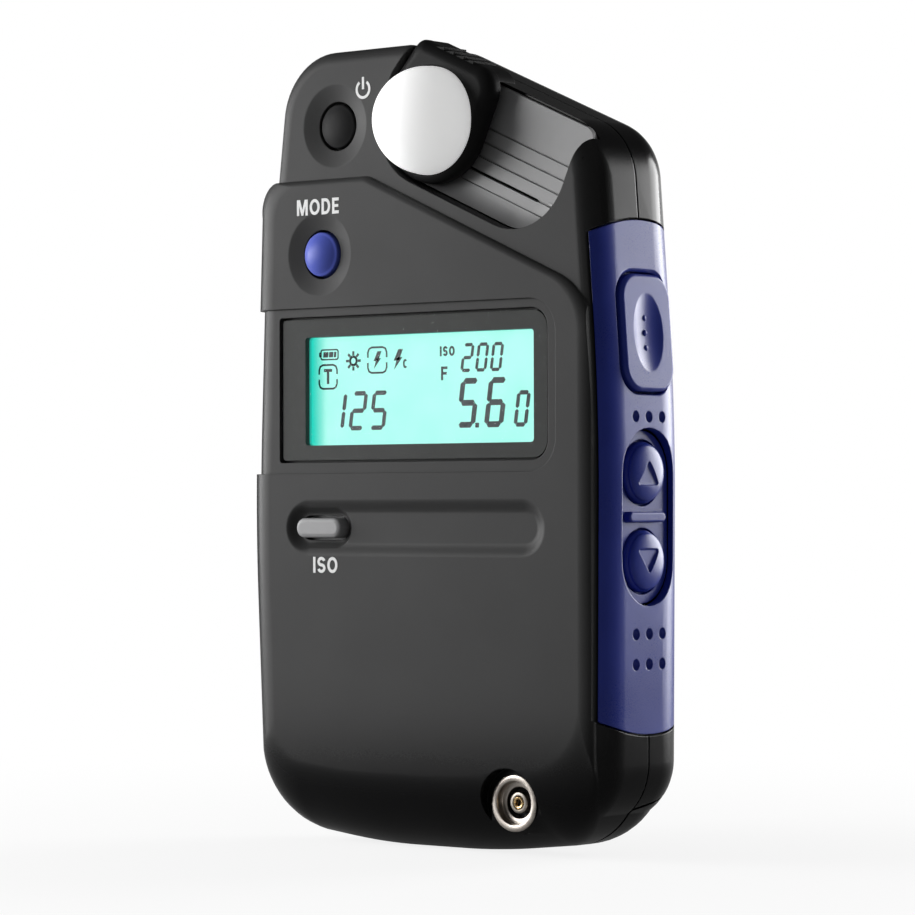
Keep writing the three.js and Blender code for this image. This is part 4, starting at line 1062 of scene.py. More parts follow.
@dataclass(frozen=True)
class FloorSheet(Finish):
    """A pale floor that shows as the white background, and keeps the shadow."""

    colour: Colour = (0.86, 0.86, 0.86)

    def shade(self, graph: Graph) -> Link:
        """Return the shader.

        Args:
            graph: the material's tree.

        Returns:
            The shader.
        """
        ray = graph.rays()
        seen = ray("Camera").either(ray("Transmission")).either(ray("Glossy") * 0.1)
        x, y, _ = graph.axes()
        far = (x * x + y * y).power(0.5).steps(0.04, 0.2)
        fine = graph.noise(1.5, 2.0)
        base = graph.blend(fine, darker(self.colour, 0.99), self.colour)
        plain = graph.principled(Base_Color=base, Roughness=0.85, Specular_IOR_Level=0.2)
        white = graph.add("ShaderNodeEmission", sockets={"Color": (1.0, 1.0, 1.0), "Strength": 1.0})
        dim = graph.principled(Base_Color=darker(self.colour, 0.35) + (1.0,), Roughness=0.9)
        lit = graph.mixed(ray("Diffuse").either(ray("Glossy")), plain, dim)
        return graph.mixed(seen * (far * 0.16 + 0.84), lit, white)


class Finishes:
    """All finishes of this meter."""

    # the front colour is partly painted light: the front lamp's light and sheen on the same black
    # plastic as the sides
    SHELL = CasePlastic("case_shell", (0.036, 0.036, 0.0362), (0.004, 0.004, 0.0042))
    SLIDER = MouldedPlastic("slider_plastic", (0.013, 0.013, 0.0132), 0.42, 0.15, 0.008, 0.16, 0.05)
    DARK = MouldedPlastic("dark_plastic", (0.010, 0.010, 0.011), 0.42, 0.2, 0.008, 0.14, 0.25)
    POWER = MouldedPlastic("power_plastic", (0.014, 0.014, 0.0145), 0.5, 0.2, 0.006, 0.2, 0.05)
    GRIP = MouldedPlastic("grip_plastic", (0.022, 0.038, 0.28), 0.3, 0.14, 0.010, 0.16, 0.26)
    MODE = MouldedPlastic("mode_plastic", (0.070, 0.096, 0.42), 0.42, 0.22, 0.006, 0.22, 0.16)
    ISO = MouldedPlastic("iso_key_plastic", (0.22, 0.22, 0.225), 0.45, 0.18, 0.01, 0.2, 0.4)
    TRACK = MouldedPlastic("track_satin", (0.215, 0.215, 0.218), 0.42, 0.14, 0.008, 0.1, 0.45)
    OPAL = GlowingOpalPlastic("opal_plastic", (0.94, 0.94, 0.93))
    PANE = ClearPane("clear_pane", (0.97, 0.98, 0.98))
    BORDER = MouldedPlastic("window_border", (0.05, 0.0485, 0.047), 0.5, 0.12, 0.003, 0.05, 0.1)
    LIT = LitPanel("lit_display", (0.425, 1.0, 0.87), (0.02, 0.7, 0.55), -21.0, 3.2)
    # painted light: a glowing rim in place of the display's light falling on the walls of the opening
    RIM = LitPanel("lit_rim", (0.02, 0.50, 0.40), (0.012, 0.42, 0.33), -30.0, 1.0, 0.8)
    INK = InkLayer("display_ink", (0.004, 0.012, 0.018))
    PRINT = InkLayer("white_print", (0.72, 0.72, 0.72), 0.5)
    NICKEL = Plated("bright_nickel", (0.50, 0.455, 0.41), 0.3)
    PIN = Plated("dull_nickel", (0.36, 0.33, 0.29), 0.36)
    GOLD = Plated("gold_contact", (0.80, 0.56, 0.27), 0.25)
    STEEL = Plated("dark_steel", (0.12, 0.12, 0.125), 0.34)
    BOARD = CircuitBoard("green_board")
    CHIP = MouldedPlastic("chip_resin", (0.02, 0.02, 0.021), 0.38, 0.08, 0.006, 0.08, 0.4)
    RUBBER = MouldedPlastic("soft_rubber", (0.05, 0.05, 0.055), 0.72, 0.3, 0.015, 0.12, 0.25)
    SLEEVE = CellSleeve("shrunk_sleeve", (0.30, 0.33, 0.38), (0.55, 0.42, 0.2), 13.0)


# The case's outer form


@dataclass(frozen=True)
class Round:
    """A rounding: how far it reaches in from the outline, and how deep from the face."""

    inset: float
    depth: float


@dataclass(frozen=True)
class Edge:
    """One stretch of an outline: its roundings at front and back, and its wall."""

    front: Round
    back: Round
    skin: float


@dataclass(frozen=True)
class Corner:
    """A corner of an outline seen from the front, with the edge that follows it."""

    x: float
    z: float
    radius: float
    steps: int
    edge: Edge


@dataclass(frozen=True)
class CaseSizes:
    """Sizes of the case in millimetres, seen from the front; depths run from the seam."""

    top: float = 109.7
    back: float = 11.0
    core_front: float = 10.1
    panel_front: float = 11.0
    core_left: float = 27.4
    core_right: float = 31.25
    core_foot: float = 4.2
    slope: float = math.radians(24)
    slope_x: float = -2.5
    head_lean: float = 2.7
    head_radius: float = 9.5
    shoulder_lean: float = 2.1
    shoulder_radius: float = 9.8
    crown: float = 60.006
    crown_radius: float = 300.0
    heel_lean: float = 0.5
    heel_radius: float = 8.6
    toe_radius: float = 6.0
    panel_left: float = 32.5
    panel_right: float = 29.4
    panel_top: float = 91.994
    panel_break: float = -9.1
    panel_shoulder: float = 9.0
    panel_head_radius: float = 5.0
    panel_head_lean: float = 1.6
    panel_crown: float = 46.074
    panel_foot_lean: float = 1.9
    foot_middle: float = -3.0
    foot_left_rise: float = 2.1
    foot_right_rise: float = 2.4
    foot_flat: float = 10.0
    foot_radius: float = 100.0
    panel_corner: float = 11.0
    wall: float = 1.7
    side_wall: float = 4.2
    gap: float = 0.3
    running: float = 0.35
    seam: float = 0.15
    board_face: float = -2.2


CASE = CaseSizes()


class CaseForm:
    """The core and the raised panel, as stacks of rings from the front to the back."""

    LEAST = 0.4

    def __init__(self) -> None:
        """Set out both outlines, anticlockwise from the toe."""
        c = CASE
        foot = Edge(Round(5, 5), Round(7, 8), c.wall)
        right = Edge(Round(3, 5), Round(8, 8), c.side_wall)
        top = Edge(Round(2, 2), Round(5, 7), c.wall)
        left = Edge(Round(3.2, 3), Round(6, 6), c.wall)
        head_x = c.core_right - c.head_lean
        self.head_z = c.top - (head_x - c.slope_x) * math.tan(c.slope)
        self.core = [
            Corner(-c.core_left, c.core_foot, c.toe_radius, 8, foot),
            Corner(c.core_right - c.heel_lean, c.core_foot, c.heel_radius, 16, right),
            Corner(c.core_right, c.crown, c.crown_radius, 10, right),
            Corner(head_x, self.head_z, c.head_radius, 16, top),
            Corner(c.slope_x, c.top, 3, 6, top),
            Corner(-c.core_left + c.shoulder_lean, c.top, c.shoulder_radius, 16, left),
            Corner(-c.core_left, c.panel_top, 0.4, 2, left),
        ]
        panel_foot = Edge(Round(10.6, 10), Round(8, 9), c.wall)
        panel_right = Edge(Round(2, 1.1), Round(8, 8), c.side_wall)
        step = Edge(Round(1, 0.9), Round(6, 6), c.wall)
        panel_left = Edge(Round(5.5, 5.5), Round(6, 6), c.wall)
        shoulder = c.panel_top - (c.panel_right - c.panel_break) * math.tan(c.slope)
        self.panel = [
            Corner(-c.panel_left + c.panel_foot_lean, c.foot_left_rise, c.panel_corner, 14,
                   panel_foot),
            Corner(c.foot_middle - c.foot_flat, 0, c.foot_radius, 8, panel_foot),
            Corner(c.foot_middle + c.foot_flat, 0, c.foot_radius, 8, panel_foot),
            Corner(c.panel_right, c.foot_right_rise, c.panel_corner, 14, panel_right),
            Corner(c.panel_right, shoulder, c.panel_shoulder, 14, step),
            Corner(c.panel_break, c.panel_top, 3, 6, step),
            Corner(-c.panel_left + c.panel_head_lean, c.panel_top, c.panel_head_radius, 12,
                   panel_left),
            Corner(-c.panel_left, c.panel_crown, c.crown_radius, 10, panel_left),
        ]

    @staticmethod
    def shifted(before: Vector, here: Vector, after: Vector, shift_in: float,
                shift_out: float) -> Vector:
        """Return where two edges meet once each has moved in by its own amount.

        Args:
            before: the corner before this one.
            here: the corner.
            after: the corner after this one.
            shift_in: how far the edge that leads here moves in.
            shift_out: how far the edge that leads on moves in.

        Returns:
            The new corner.
        """
        into = (here - before).normalized()
        out = (after - here).normalized()
        turn = into.x * out.y - into.y * out.x
        along = (shift_out - shift_in * into.dot(out)) / turn
        return here + Vector((-into.y, into.x)) * shift_in - into * along

    def ring(self, corners: list[Corner], face: float, towards: float, side: str, angle: float,
             skin_of: Callable[[Edge], float], face_skin: float, coarse: int = 1) -> Ring:
        """Return one ring of a body.

        Args:
            corners: the outline.
            face: where the face lies along Y.
            towards: 1 for the front half, -1 for the back half.
            side: which rounding is meant, front or back.
            angle: 0 at the sides, a quarter turn at the face.
            skin_of: how far an edge moves in.
            face_skin: how far the face moves in.
            coarse: by how much the steps are thinned.

        Returns:
            The points of the ring.
        """
        places = [Vector((corner.x, corner.z)) for corner in corners]
        count = len(places)
        shifts, depths = [], []
        for corner in corners:
            size: Round = getattr(corner.edge, side)
            skin = skin_of(corner.edge)
            shifts.append(skin + max(size.inset - skin, self.LEAST) * (1 - math.cos(angle)))
            depths.append(max(size.depth - face_skin, self.LEAST) * (1 - math.sin(angle)))
        moved = [self.shifted(places[i - 1], places[i], places[(i + 1) % count],
                              shifts[i - 1], shifts[i]) for i in range(count)]
        points: Ring = []
        for i, corner in enumerate(corners):
            left = max(corner.radius - min(shifts[i - 1], shifts[i]), self.LEAST)
            steps = max(corner.steps // coarse, 1)
            arc = corner_arc(moved[i - 1], moved[i], moved[(i + 1) % count], left, steps)
            for step, point in enumerate(arc):
                depth = depths[i - 1] + (depths[i] - depths[i - 1]) * step / steps
                points.append(Vector((point.x, face + towards * (face_skin + depth), point.y)))
        return points

    def body(self, corners: list[Corner], front: float,
             skin_of: Callable[[Edge], float] = lambda edge: 0.0,
             face_skin: float = 0.0, coarse: int = 1) -> Form:
        """Return a closed body with rounded rims at its front and its back.

        Args:
            corners: the outline.
            front: how far its front stands from the seam plane.
            skin_of: how far an edge moves in.
            face_skin: how far the faces move in.
            coarse: by how much the steps are thinned.

        Returns:
            The body.
        """
        steps = max(12 // coarse, 4)
        angles = [math.pi / 2 * (1 - step / steps) for step in range(steps + 1)]
        rings = [self.ring(corners, -front, 1, "front", a, skin_of, face_skin, coarse)
                 for a in angles]
        rings += [self.ring(corners, CASE.back, -1, "back", a, skin_of, face_skin, coarse)
                  for a in reversed(angles)]
        return loft(rings)

    def drawn_in(self, corners: list[Corner], front: float, depth: float, coarse: int = 1) -> Form:
        """Return a body that is drawn in by one depth all round."""
        return self.body(corners, front, lambda edge: depth, depth, coarse)

    def cavities(self) -> list[Form]:
        """Return the hollow inside, as two forms."""
        return [self.body(corners, CASE.core_front, lambda edge: edge.skin, CASE.wall, 3)
                for corners in (self.core, self.panel)]


CASE_FORM = CaseForm()


# Places on the slope and on the right side


@dataclass(frozen=True)
class TrackSizes:
    """Sizes of the dome, its slider and the track, in millimetres."""

    dome_x: float = 1.6
    dome_z: float = 98.906
    dome_radius: float = 7.35
    half_width: float = 8.5
    travel: float = 16.15
    lift: float = 1.2
    front: float = -10.2
    back: float = -6.6
    plate_front: float = -6.25
    floor: float = -5.45
    floor_back: float = -4.35
    blade_drop: float = 4.1
    rim: float = 1.7
    lip: float = -7.35
    teeth: int = 4
    tooth_pitch: float = 1.85
    tooth_height: float = 0.6
    seat: float = 0.4
    light_hole: float = 2.35
    tab_left: float = -6.5
    tab_foot: float = 3.6
    tab_radius: float = 3.4
    tab_side_radius: float = 4.0
    top_radius: float = 1.3
    taper: float = 0.8
    window_seat: float = 3.2
    slot_reach: float = 2.95
    groove_left: float = -9.7
    groove_right: float = 26.0
    groove_half: float = 0.13
    grooves: tuple = (1.9, -0.1, -2.1)

    @property
    def rise(self) -> float:
        """Return how far the slope lies from the dome's axis."""
        down = (CASE.slope_x - self.dome_x) * math.sin(CASE.slope)
        return (CASE.top - self.dome_z) * math.cos(CASE.slope) + down


TRACK = TrackSizes()


def on_slope(form: Form) -> Form:
    """Turn a form drawn along and across the slope from the dome's axis."""
    tilted = form.turned_by(Matrix.Rotation(CASE.slope, 4, "Y"))
    return tilted.moved(TRACK.dome_x, 0, TRACK.dome_z)


def slope_plate(outline: Ring, front: float, back: float) -> Form:
    """Return a plate drawn on the slope, between two places along Y."""
    return on_slope(front_plate(outline, front, back))


def slider_outline(left: float, right: float, radius: float, top: float, top_radius: float) -> Ring:
    """Return the outline of slider or track, round below and open at the slope."""
    return rounded([(left, -radius), (right, -radius), (right, top), (left, top)],
                   [radius, radius, top_radius, top_radius], 16)


def slider_shape(inset: float) -> Ring:
    """Return the outline of the slider: round below, and cut away at its upper left.

    Args:
        inset: how far it is drawn in.

    Returns:
        The points of the outline.
    """
    t = TRACK
    w = t.half_width - inset
    high = t.rise + CASE.gap + t.lift - inset
    corners = [(-w, -w), (w, -w), (w, high), (t.tab_left + inset * t.taper, high), (-w, t.tab_foot)]
    radii = [w, w, t.tab_radius - inset * t.taper, t.top_radius, t.tab_side_radius]
    return rounded(corners, radii, 16)


def corner_wedge(spread: float) -> Form:
    """Return the wedge of the case beside the slider's cut corner.

    Args:
        spread: how far it is larger than the wedge.

    Returns:
        The wedge, as a form to cut with.
    """
    corners = [(-11, 3.3 - spread), (-8.86 + spread, 3.3 - spread), (-8.8 + spread, 3.8),
               (-6.5 + spread, 10.9), (-11, 10.9)]
    outline = [Vector(corner) for corner in corners]
    return slope_plate(outline, -CASE.core_front - 1, TRACK.floor + 0.3)


def track_outline(spread: float) -> Ring:
    """Return the outline of the track, spread outward."""
    reach = TRACK.half_width + CASE.running + spread
    return slider_outline(-reach, reach + TRACK.travel, reach, TRACK.rise + 23, 0)


SIDE_FOOT = CASE.core_right - CASE.heel_lean
SIDE_LEAN = math.atan2(CASE.head_lean, CASE_FORM.head_z - CASE.crown)


def side_x(height: float) -> float:
    """Return where the right side lies at a height."""
    return CASE.core_right - max(height - CASE.crown, 0) * math.tan(SIDE_LEAN)


def on_side(form: Form, height: float) -> Form:
    """Seat a form that faces right on the right side, at a height."""
    lean = SIDE_LEAN if height > CASE.crown else 0.0
    return form.turned_by(Matrix.Rotation(-lean, 4, "Y")).moved(side_x(height), 0, height)


def flank(height: float) -> float:
    """Return how far the right side's true face lies in from its seats."""
    lower = (CASE.core_right - SIDE_FOOT) * (CASE.crown - height) / (CASE.crown - CASE.core_foot)
    return max(lower, 0.0) + 0.2 * max(1 - abs(height - CASE.crown) / 12, 0.0)


def box(left: float, right: float, front: float, back: float, foot: float, top: float) -> Form:
    """Return a plain block, used to cut and to keep."""
    return front_plate(oblong(left, right, foot, top, 0), front, back)


# Side keys' places, shared by the grip and the keys


@dataclass(frozen=True)
class SideKeySizes:
    """Sizes of the grip and the keys in it, in millimetres."""

    thickness: float = 1.9
    grip_foot: float = 16.598
    grip_top: float = 84.601
    end_drop: float = 2.8
    reach: float = 1.4
    measure_z: float = 69.605
    measure_half_height: float = 7.8
    measure_half_width: float = 5.4
    measure_radius: float = 3.4
    measure_proud: float = 0.5
    up_z: float = 51.098
    down_z: float = 39.404
    arrow_radius: float = 4.1
    flange: float = 0.7
    flange_thickness: float = 0.5
    slot_half: float = 5.6
    stem_radius: float = 1.5

    @property
    def arrow_middle(self) -> float:
        """Return the height half-way between the arrow keys."""
        return (self.up_z + self.down_z) / 2

    @property
    def arrow_half(self) -> float:
        """Return half the height of the slot that holds the arrow keys."""
        return (self.up_z - self.down_z) / 2 + self.slot_half + CASE.running


SIDE = SideKeySizes()


def grip_zone(thickness: float, spread: float) -> Carving:
    """Return the band of the right side that the grip fills.

    Args:
        thickness: how far it reaches in from the side.
        spread: how far it is larger than the grip.

    Returns:
        The band, still to be cut to the case.
    """
    middle = (CASE.back - CASE.core_front) / 2
    half = CASE.back - middle + 1

    def end(height: float, towards: float) -> Ring:
        """Return one bowed end of the band.

        Args:
            height: where the end lies.
            towards: 1 for the top end, -1 for the foot.

        Returns:
            The points of the end.
        """
        points = []
        for step in range(25):
            share = -1 + step / 12
            bow = spread - SIDE.end_drop * share * share
            points.append(Vector((middle - towards * share * half, height + towards * bow)))
        return points

    outline = end(SIDE.grip_foot, -1) + end(SIDE.grip_top, 1)
    zone = side_plate(outline, CASE.core_right / 2, CASE.core_right + 1)
    reach = SIDE.reach + spread
    rim = CASE_FORM.ring(CASE_FORM.core, 0, 1, "front", 0,
                         lambda edge: reach if edge.skin == CASE.side_wall else 0.0, 0)
    beside = loft([[Vector((p.x, y, p.z)) for p in rim]
                   for y in (-CASE.core_front - 1, CASE.back + 1)])
    inner = CASE_FORM.drawn_in(CASE_FORM.core, CASE.core_front, thickness)
    return Carving("grip_zone", zone).cut(beside, inner)


def slot_plate(half_width: float, half_height: float, radius: float, left: float, right: float,
               height: float) -> Form:
    """Return a rounded plate in the right side."""
    return on_side(side_plate(upright(half_width, half_height, radius), left, right), height)


def side_disc(radius: float, left: float, right: float, height: float) -> Form:
    """Return a disc that faces right."""
    return on_side(disc(radius, left, right).turned_by(TO_RIGHT), height)


def arrow_slot(spread: float, left: float, right: float) -> Form:
    """Return the slot that holds both arrow keys."""
    half = SIDE.slot_half + CASE.running + spread
    return slot_plate(half, SIDE.arrow_half + spread, half, left, right, SIDE.arrow_middle)


def side_seats() -> list[Form]:
    """Return the seats and stem holes of the side keys in the case.

    Returns:
        The forms to cut with.
    """
    seat = -SIDE.thickness - CASE.gap - 1.15
    flange = SIDE.flange + CASE.running
    forms = [
        slot_plate(SIDE.measure_half_width + flange, SIDE.measure_half_height + flange,
                   SIDE.measure_radius, seat, 0, SIDE.measure_z),
        arrow_slot(CASE.running, seat, 0),
    ]
    for height in (SIDE.measure_z, SIDE.up_z, SIDE.down_z):
        forms.append(side_disc(SIDE.stem_radius + CASE.running, -CASE.side_wall - 2, 0, height))
    return forms


# Front places


@dataclass(frozen=True)
class FrontKeySizes:
    """Sizes of the keys on the front, in millimetres."""

    power_x: float = -15.3
    power_z: float = 99.3
    mode_x: float = -17.4
    mode_z: float = 81.605
    radius: float = 3.05
    dish_radius: float = 5.9
    dish_depth: float = 1.0
    flange: float = 0.7
    stem_radius: float = 1.5
    stem_end: float = 5.35
    bore_foot: float = 2.2
    flange_thickness: float = 0.8
    iso_x: float = -17.5
    iso_z: float = 43.805
    iso_half_length: float = 4.05
    iso_half_width: float = 1.35
    iso_proud: float = 1.0
    channel_left: float = -22.4
    channel_right: float = 21.2
    channel_half: float = 2.95
    channel_depth: float = 0.7


FRONT_KEYS = FrontKeySizes()


def window_outline(spread: float) -> Ring:
    """Return the window's outline: nearly square at the panel's edge, round at the other end.

    Args:
        spread: how far it is spread outward.

    Returns:
        The points of the outline.
    """
    d = DISPLAY
    square = 0.5
    corners = [(d.left - spread, d.foot - spread), (d.right + spread, d.foot - spread),
               (d.right + spread, d.top + spread), (d.left - spread, d.top + spread)]
    return rounded(corners, [square, d.radius + spread, d.radius + spread, square], 12)


def view_outline(spread: float, radius: float, steps: int) -> Ring:
    """Return the outline of the display's visible field.

    Args:
        spread: how far it is spread outward.
        radius: the radius of its corners.
        steps: how many steps each corner has.

    Returns:
        The points of the outline.
    """
    d = DISPLAY
    return oblong(d.view_left - spread, d.view_right + spread, d.view_foot - spread,
                  d.view_top + spread, radius, steps)


def iso_outline(spread: float) -> Ring:
    """Return the outline of the oblong key.

    Args:
        spread: how far it is spread outward.

    Returns:
        The points of the outline.
    """
    k = FRONT_KEYS
    reach = k.iso_half_length + spread
    half = k.iso_half_width + spread
    return oblong(k.iso_x - reach, k.iso_x + reach, k.iso_z - half, k.iso_z + half, half, 12)


@dataclass(frozen=True)
class DisplaySizes:
    """Sizes of the window, its band and the display, in millimetres."""

    view_left: float = -21.3
    view_right: float = 19.1
    view_foot: float = 55.205
    view_top: float = 70.205
    left: float = -24.9
    right: float = 22.0
    foot: float = 53.105
    top: float = 72.705
    radius: float = 2.4
    band_foot: float = 51.305
    band_top: float = 74.205
    band_right: float = 23.9
    band_radius: float = 4.5
    band_depth: float = 0.45
    band_side: float = 0.8
    pane: float = 1.2
    face: float = -8.25
    rim: float = 0.3

    @property
    def pane_face(self) -> float:
        """Return where the pane's front lies along Y."""
        return -CASE.panel_front + self.band_depth


DISPLAY = DisplaySizes()


@dataclass(frozen=True)
class SocketSizes:
    """Sizes of the sync socket, in millimetres; heights run to the front."""

    x: float = 15.4
    z: float = 7.3
    recess: float = 4.7
    face: float = 9.0
    flange: float = 3.8
    collar: float = 0.3
    sunk: float = 1.2
    step: float = 2.9
    bore: float = 2.1
    cup: float = 1.4
    barrel: float = 3.1
    length: float = 6.2
    contact: float = 1.45
    contact_bore: float = 0.45
    nut: float = 4.2


SOCKET = SocketSizes()


@dataclass(frozen=True)
class BaySizes:
    """Sizes of the battery bay, its door and the screws, in millimetres."""

    left: float = -25.4
    length: float = 50.5
    radius: float = 7.25
    y: float = 1.7
    z: float = 20.4
    clearance: float = 0.3
    door_left: float = -27.5
    door_right: float = 26.0
    door_top: float = 31.0
    door_depth: float = 3.0
    door_radius: float = 2.5
    crease_front: float = 6.3
    crease_back: float = 8.6
    border: float = 2.4
    bay_depth: float = 4.5
    rail: float = 1.0
    rail_thickness: float = 0.8
    spring_room: float = 2.2
    wire: float = 0.25
    turns: float = 2.5
    spring_foot: float = 4.2
    spring_head: float = 2.6
    screws: tuple = ((-22.3, 89.406), (18.6, 81.005), (-26.2, 37.0), (17.0, 35.0))
    screw_head: float = 1.9
    screw_seat: float = 7.6
    screw_well: float = 3.15
    screw_bore: float = 1.1
    screw_play: float = 0.15
    pin_x: float = -24.7
    pin_y: float = 5.2
    pin_z: float = 98.006
    pin_half: float = 4.4
    pin_radius: float = 0.8
    pin_room: float = 3.0
    lug: float = 4.7


BAY = BaySizes()


class Hull:
    """The whole outer body, from which both halves, the door and the grip are carved."""

    SPACE = (-60, 60, -5, 120)

    def __init__(self) -> None:
        """Join the core and the raised panel."""
        self.body = Carving("hull", CASE_FORM.body(CASE_FORM.core, CASE.core_front))
        self.body.join(CASE_FORM.body(CASE_FORM.panel, CASE.panel_front))

    def part(self, name: str, front: float, back: float) -> Carving:
        """Return the stretch of the hull between two places along Y."""
        left, right, foot, top = self.SPACE
        return Carving(name, self.body).keep(box(left, right, front, back, foot, top))

    def drop(self) -> None:
        """Take the hull away once all is carved."""
        discard(self.body.piece)


def soft_fall(share: float) -> float:
    """Return a smooth fall from 1 to 0 as a share runs from 0 to 1."""
    return 1 - share * share * (3 - 2 * min(share, 1.0))


@dataclass(frozen=True)
class Shells:
    """The two moulded halves of the case."""

    keys: FrontKeySizes = FRONT_KEYS
    display: DisplaySizes = DISPLAY
    socket: SocketSizes = SOCKET
    track: TrackSizes = TRACK
    bay: BaySizes = BAY
    seam_depth: float = 0.55
    boss_depth: float = 0.5
    well_depth: float = 1.3
    bowl_share: float = 1.15

    def build(self, hull: Hull) -> None:
        """Carve and place both halves.

        Args:
            hull: the outer body.
        """
        pocket = grip_zone(SIDE.thickness + CASE.gap, CASE.gap)
        self.place_front(hull, pocket.piece)
        self.place_rear(hull, pocket.piece)
        self.place_seam(pocket.piece)
        discard(pocket.piece)

    def dish(self, x: float, z: float, face: float) -> Form:
        """Return a soft round dish for a key.

        Args:
            x: its middle along X.
            z: its height.
            face: how far the surface about it stands from the seam plane.

        Returns:
            The dish, as a form to cut with.
        """
        k = self.keys
        depth = k.dish_depth * self.bowl_share
        steps, rim_step, flare = 24, 22, 0.3
        profile = []
        for step in range(steps + 1):
            share = step / rim_step
            bowl = min(share * share * (1.35 - 0.35 * share * share), 1.0)
            bowl += max(share - 1, 0) * flare
            profile.append((k.dish_radius * share, face - depth * (1 - bowl) + 0.005 * step / steps))
        profile += [(k.dish_radius * steps / rim_step, face + 1), (0.0, face + 1)]
        return facing_front(turned(profile, 72), x, z)

    def channel(self) -> Form:
        """Return the long soft channel of the oblong key.

        Returns:
            The channel, as a form to cut with.
        """
        k = self.keys
        rings = []
        for step in range(14):
            share = step / 12
            grow = 2.0 * share - 1.0
            half = k.channel_half + grow
            outline = oblong(k.channel_left - grow, k.channel_right + grow, k.iso_z - half,
                             k.iso_z + half, half, 16)
            rings.append(front_ring(outline, -CASE.panel_front + k.channel_depth * soft_fall(share)))
        return loft(rings)

    def well(self) -> Form:
        """Return the soft well about the oblong key.

        Returns:
            The well, as a form to cut with.
        """
        shares = [step / 9 for step in range(11)]
        return loft([front_ring(iso_outline(0.45 + 1.7 * share),
                                -CASE.panel_front + self.well_depth * soft_fall(share))
                     for share in shares])

    def place_seam(self, pocket: bpy.types.Object) -> None:
        """Build the thin band that closes the seam, a little inside the surface.

        Args:
            pocket: the room of the grip.
        """
        depth = self.seam_depth
        band = Carving("seam_band", CASE_FORM.drawn_in(CASE_FORM.core, CASE.core_front, depth))
        band.join(CASE_FORM.drawn_in(CASE_FORM.panel, CASE.panel_front, depth))
        band.keep(front_plate(oblong(-40, 40, -5, 115, 0), 0.02 - CASE.seam, 0.06))
        band.cut(*CASE_FORM.cavities()).cut(pocket, *side_seats())
        place(band.done(), "case", "shell_plastic", Finishes.DARK)

    def place_front(self, hull: Hull, pocket: bpy.types.Object) -> None:
        """Carve the front half: track, dishes, channel, window bay and socket recess.

        Args:
            hull: the outer body.
            pocket: the room of the grip.
        """
        k, d, s, t = self.keys, self.display, self.socket, self.track
        shell = hull.part("front_case", -AHEAD, -CASE.seam).cut(*CASE_FORM.cavities())
        wall = Carving("track_wall", slope_plate(track_outline(1.2), -CASE.core_front, t.floor_back))
        wall.keep(hull.part("inside", -AHEAD, -CASE.seam))
        boss = Carving("socket_boss",
                       CASE_FORM.drawn_in(CASE_FORM.panel, CASE.panel_front, self.boss_depth))
        boss.keep(front_disc(s.recess + CASE.wall / 2, s.face - s.flange / 2, CASE.panel_front,
                             s.x, s.z))
        shell.join(wall, boss)
        band = Carving("band", front_plate(
            oblong(-40, d.band_right, d.band_foot, d.band_top, d.band_radius, 12), -AHEAD, 0))
        band.cut(CASE_FORM.body(CASE_FORM.panel, CASE.panel_front,
                                lambda edge: d.band_side, d.band_depth))
        slot = oblong(-t.slot_reach, t.slot_reach + t.travel, -t.blade_drop - 0.5,
                      -t.blade_drop + 0.5, 0.5, 8)
        track = Carving("track_pocket", slope_plate(track_outline(0), -AHEAD, t.floor))
        shell.cut(band, pocket, track.cut(corner_wedge(0)))
        key_holes = [front_disc(k.radius + CASE.running, k.bore_foot, AHEAD, x, z)
                     for x, z in ((k.power_x, k.power_z), (k.mode_x, k.mode_z))]
        shell.cut(
            slope_plate(slot, t.floor - 1, t.floor_back + 1),
            front_disc(t.window_seat, -t.floor_back + 0.4, -t.floor + 1, t.dome_x, t.dome_z),
            front_disc(t.light_hole, -t.floor_back - 1, -t.floor + 1, t.dome_x, t.dome_z),
            self.dish(k.power_x, k.power_z, CASE.core_front),
            self.dish(k.mode_x, k.mode_z, CASE.panel_front),
            *key_holes,
            self.channel(),
            self.well(),
            front_plate(iso_outline(CASE.running), -AHEAD, CASE.board_face),
            front_plate(window_outline(CASE.gap), -AHEAD, d.pane_face + d.pane),
            front_plate(view_outline(d.rim, 0.9, 6), -CASE.panel_front, CASE.board_face),
            front_disc(s.recess, s.face, AHEAD, s.x, s.z, 64),
            front_disc(s.barrel + 0.15, 0, CASE.panel_front, s.x, s.z),
            front_disc(s.nut, 0, s.face - s.flange / 2, s.x, s.z),
            *side_seats(),
        )
        place(shell.done(), "case", "shell_plastic", Finishes.SHELL, "front_shell")

    def place_rear(self, hull: Hull, pocket: bpy.types.Object) -> None:
        """Carve the back half: battery bay, door seat, strap pocket and screw wells.

        Args:
            hull: the outer body.
            pocket: the room of the grip.
        """
        b = self.bay
        shell = hull.part("rear_case", CASE.seam, CASE.back + 1).cut(*CASE_FORM.cavities())
        border = oblong(b.door_left - b.border, b.door_right + b.border,
                        b.crease_front - b.door_radius - 0.5, b.door_top + b.border, b.door_radius)
        extra = Carving("bay_border", front_plate(border, CASE.back - b.bay_depth, CASE.back))
        wells = [front_disc(b.screw_well, -CASE.back + CASE.wall, -CASE.seam, x, z)
                 for x, z in b.screws]
        extra.join(*wells, self.at_pin(b.lug, b.pin_half))
        shell.join(extra.keep(hull.part("inside", CASE.seam, CASE.back + 1)))
        half = b.radius + b.clearance
        bay = oblong(b.left - CASE.gap, b.left + b.length + CASE.gap, b.z - half, b.z + half, 0.4, 2)
        door = BatteryDoor()
        shell.cut(pocket)
        shell.cut(
            door.plate(CASE.gap),
            door.rails(CASE.gap),
            door.foot_zone(CASE.gap),
            front_plate(bay, 0, CASE.back),
            self.at_pin(b.pin_room, b.pin_room),
            self.at_pin(b.pin_radius, b.pin_half),
            *side_seats(),
            *[front_disc(b.screw_bore, -CASE.back, 0, x, z) for x, z in b.screws],
            *[front_disc(b.screw_head + b.screw_play, -CASE.back - 1, -b.screw_seat, x, z)
              for x, z in b.screws],
        )
        place(shell.done(), "case", "shell_plastic", Finishes.SHELL, "rear_shell")

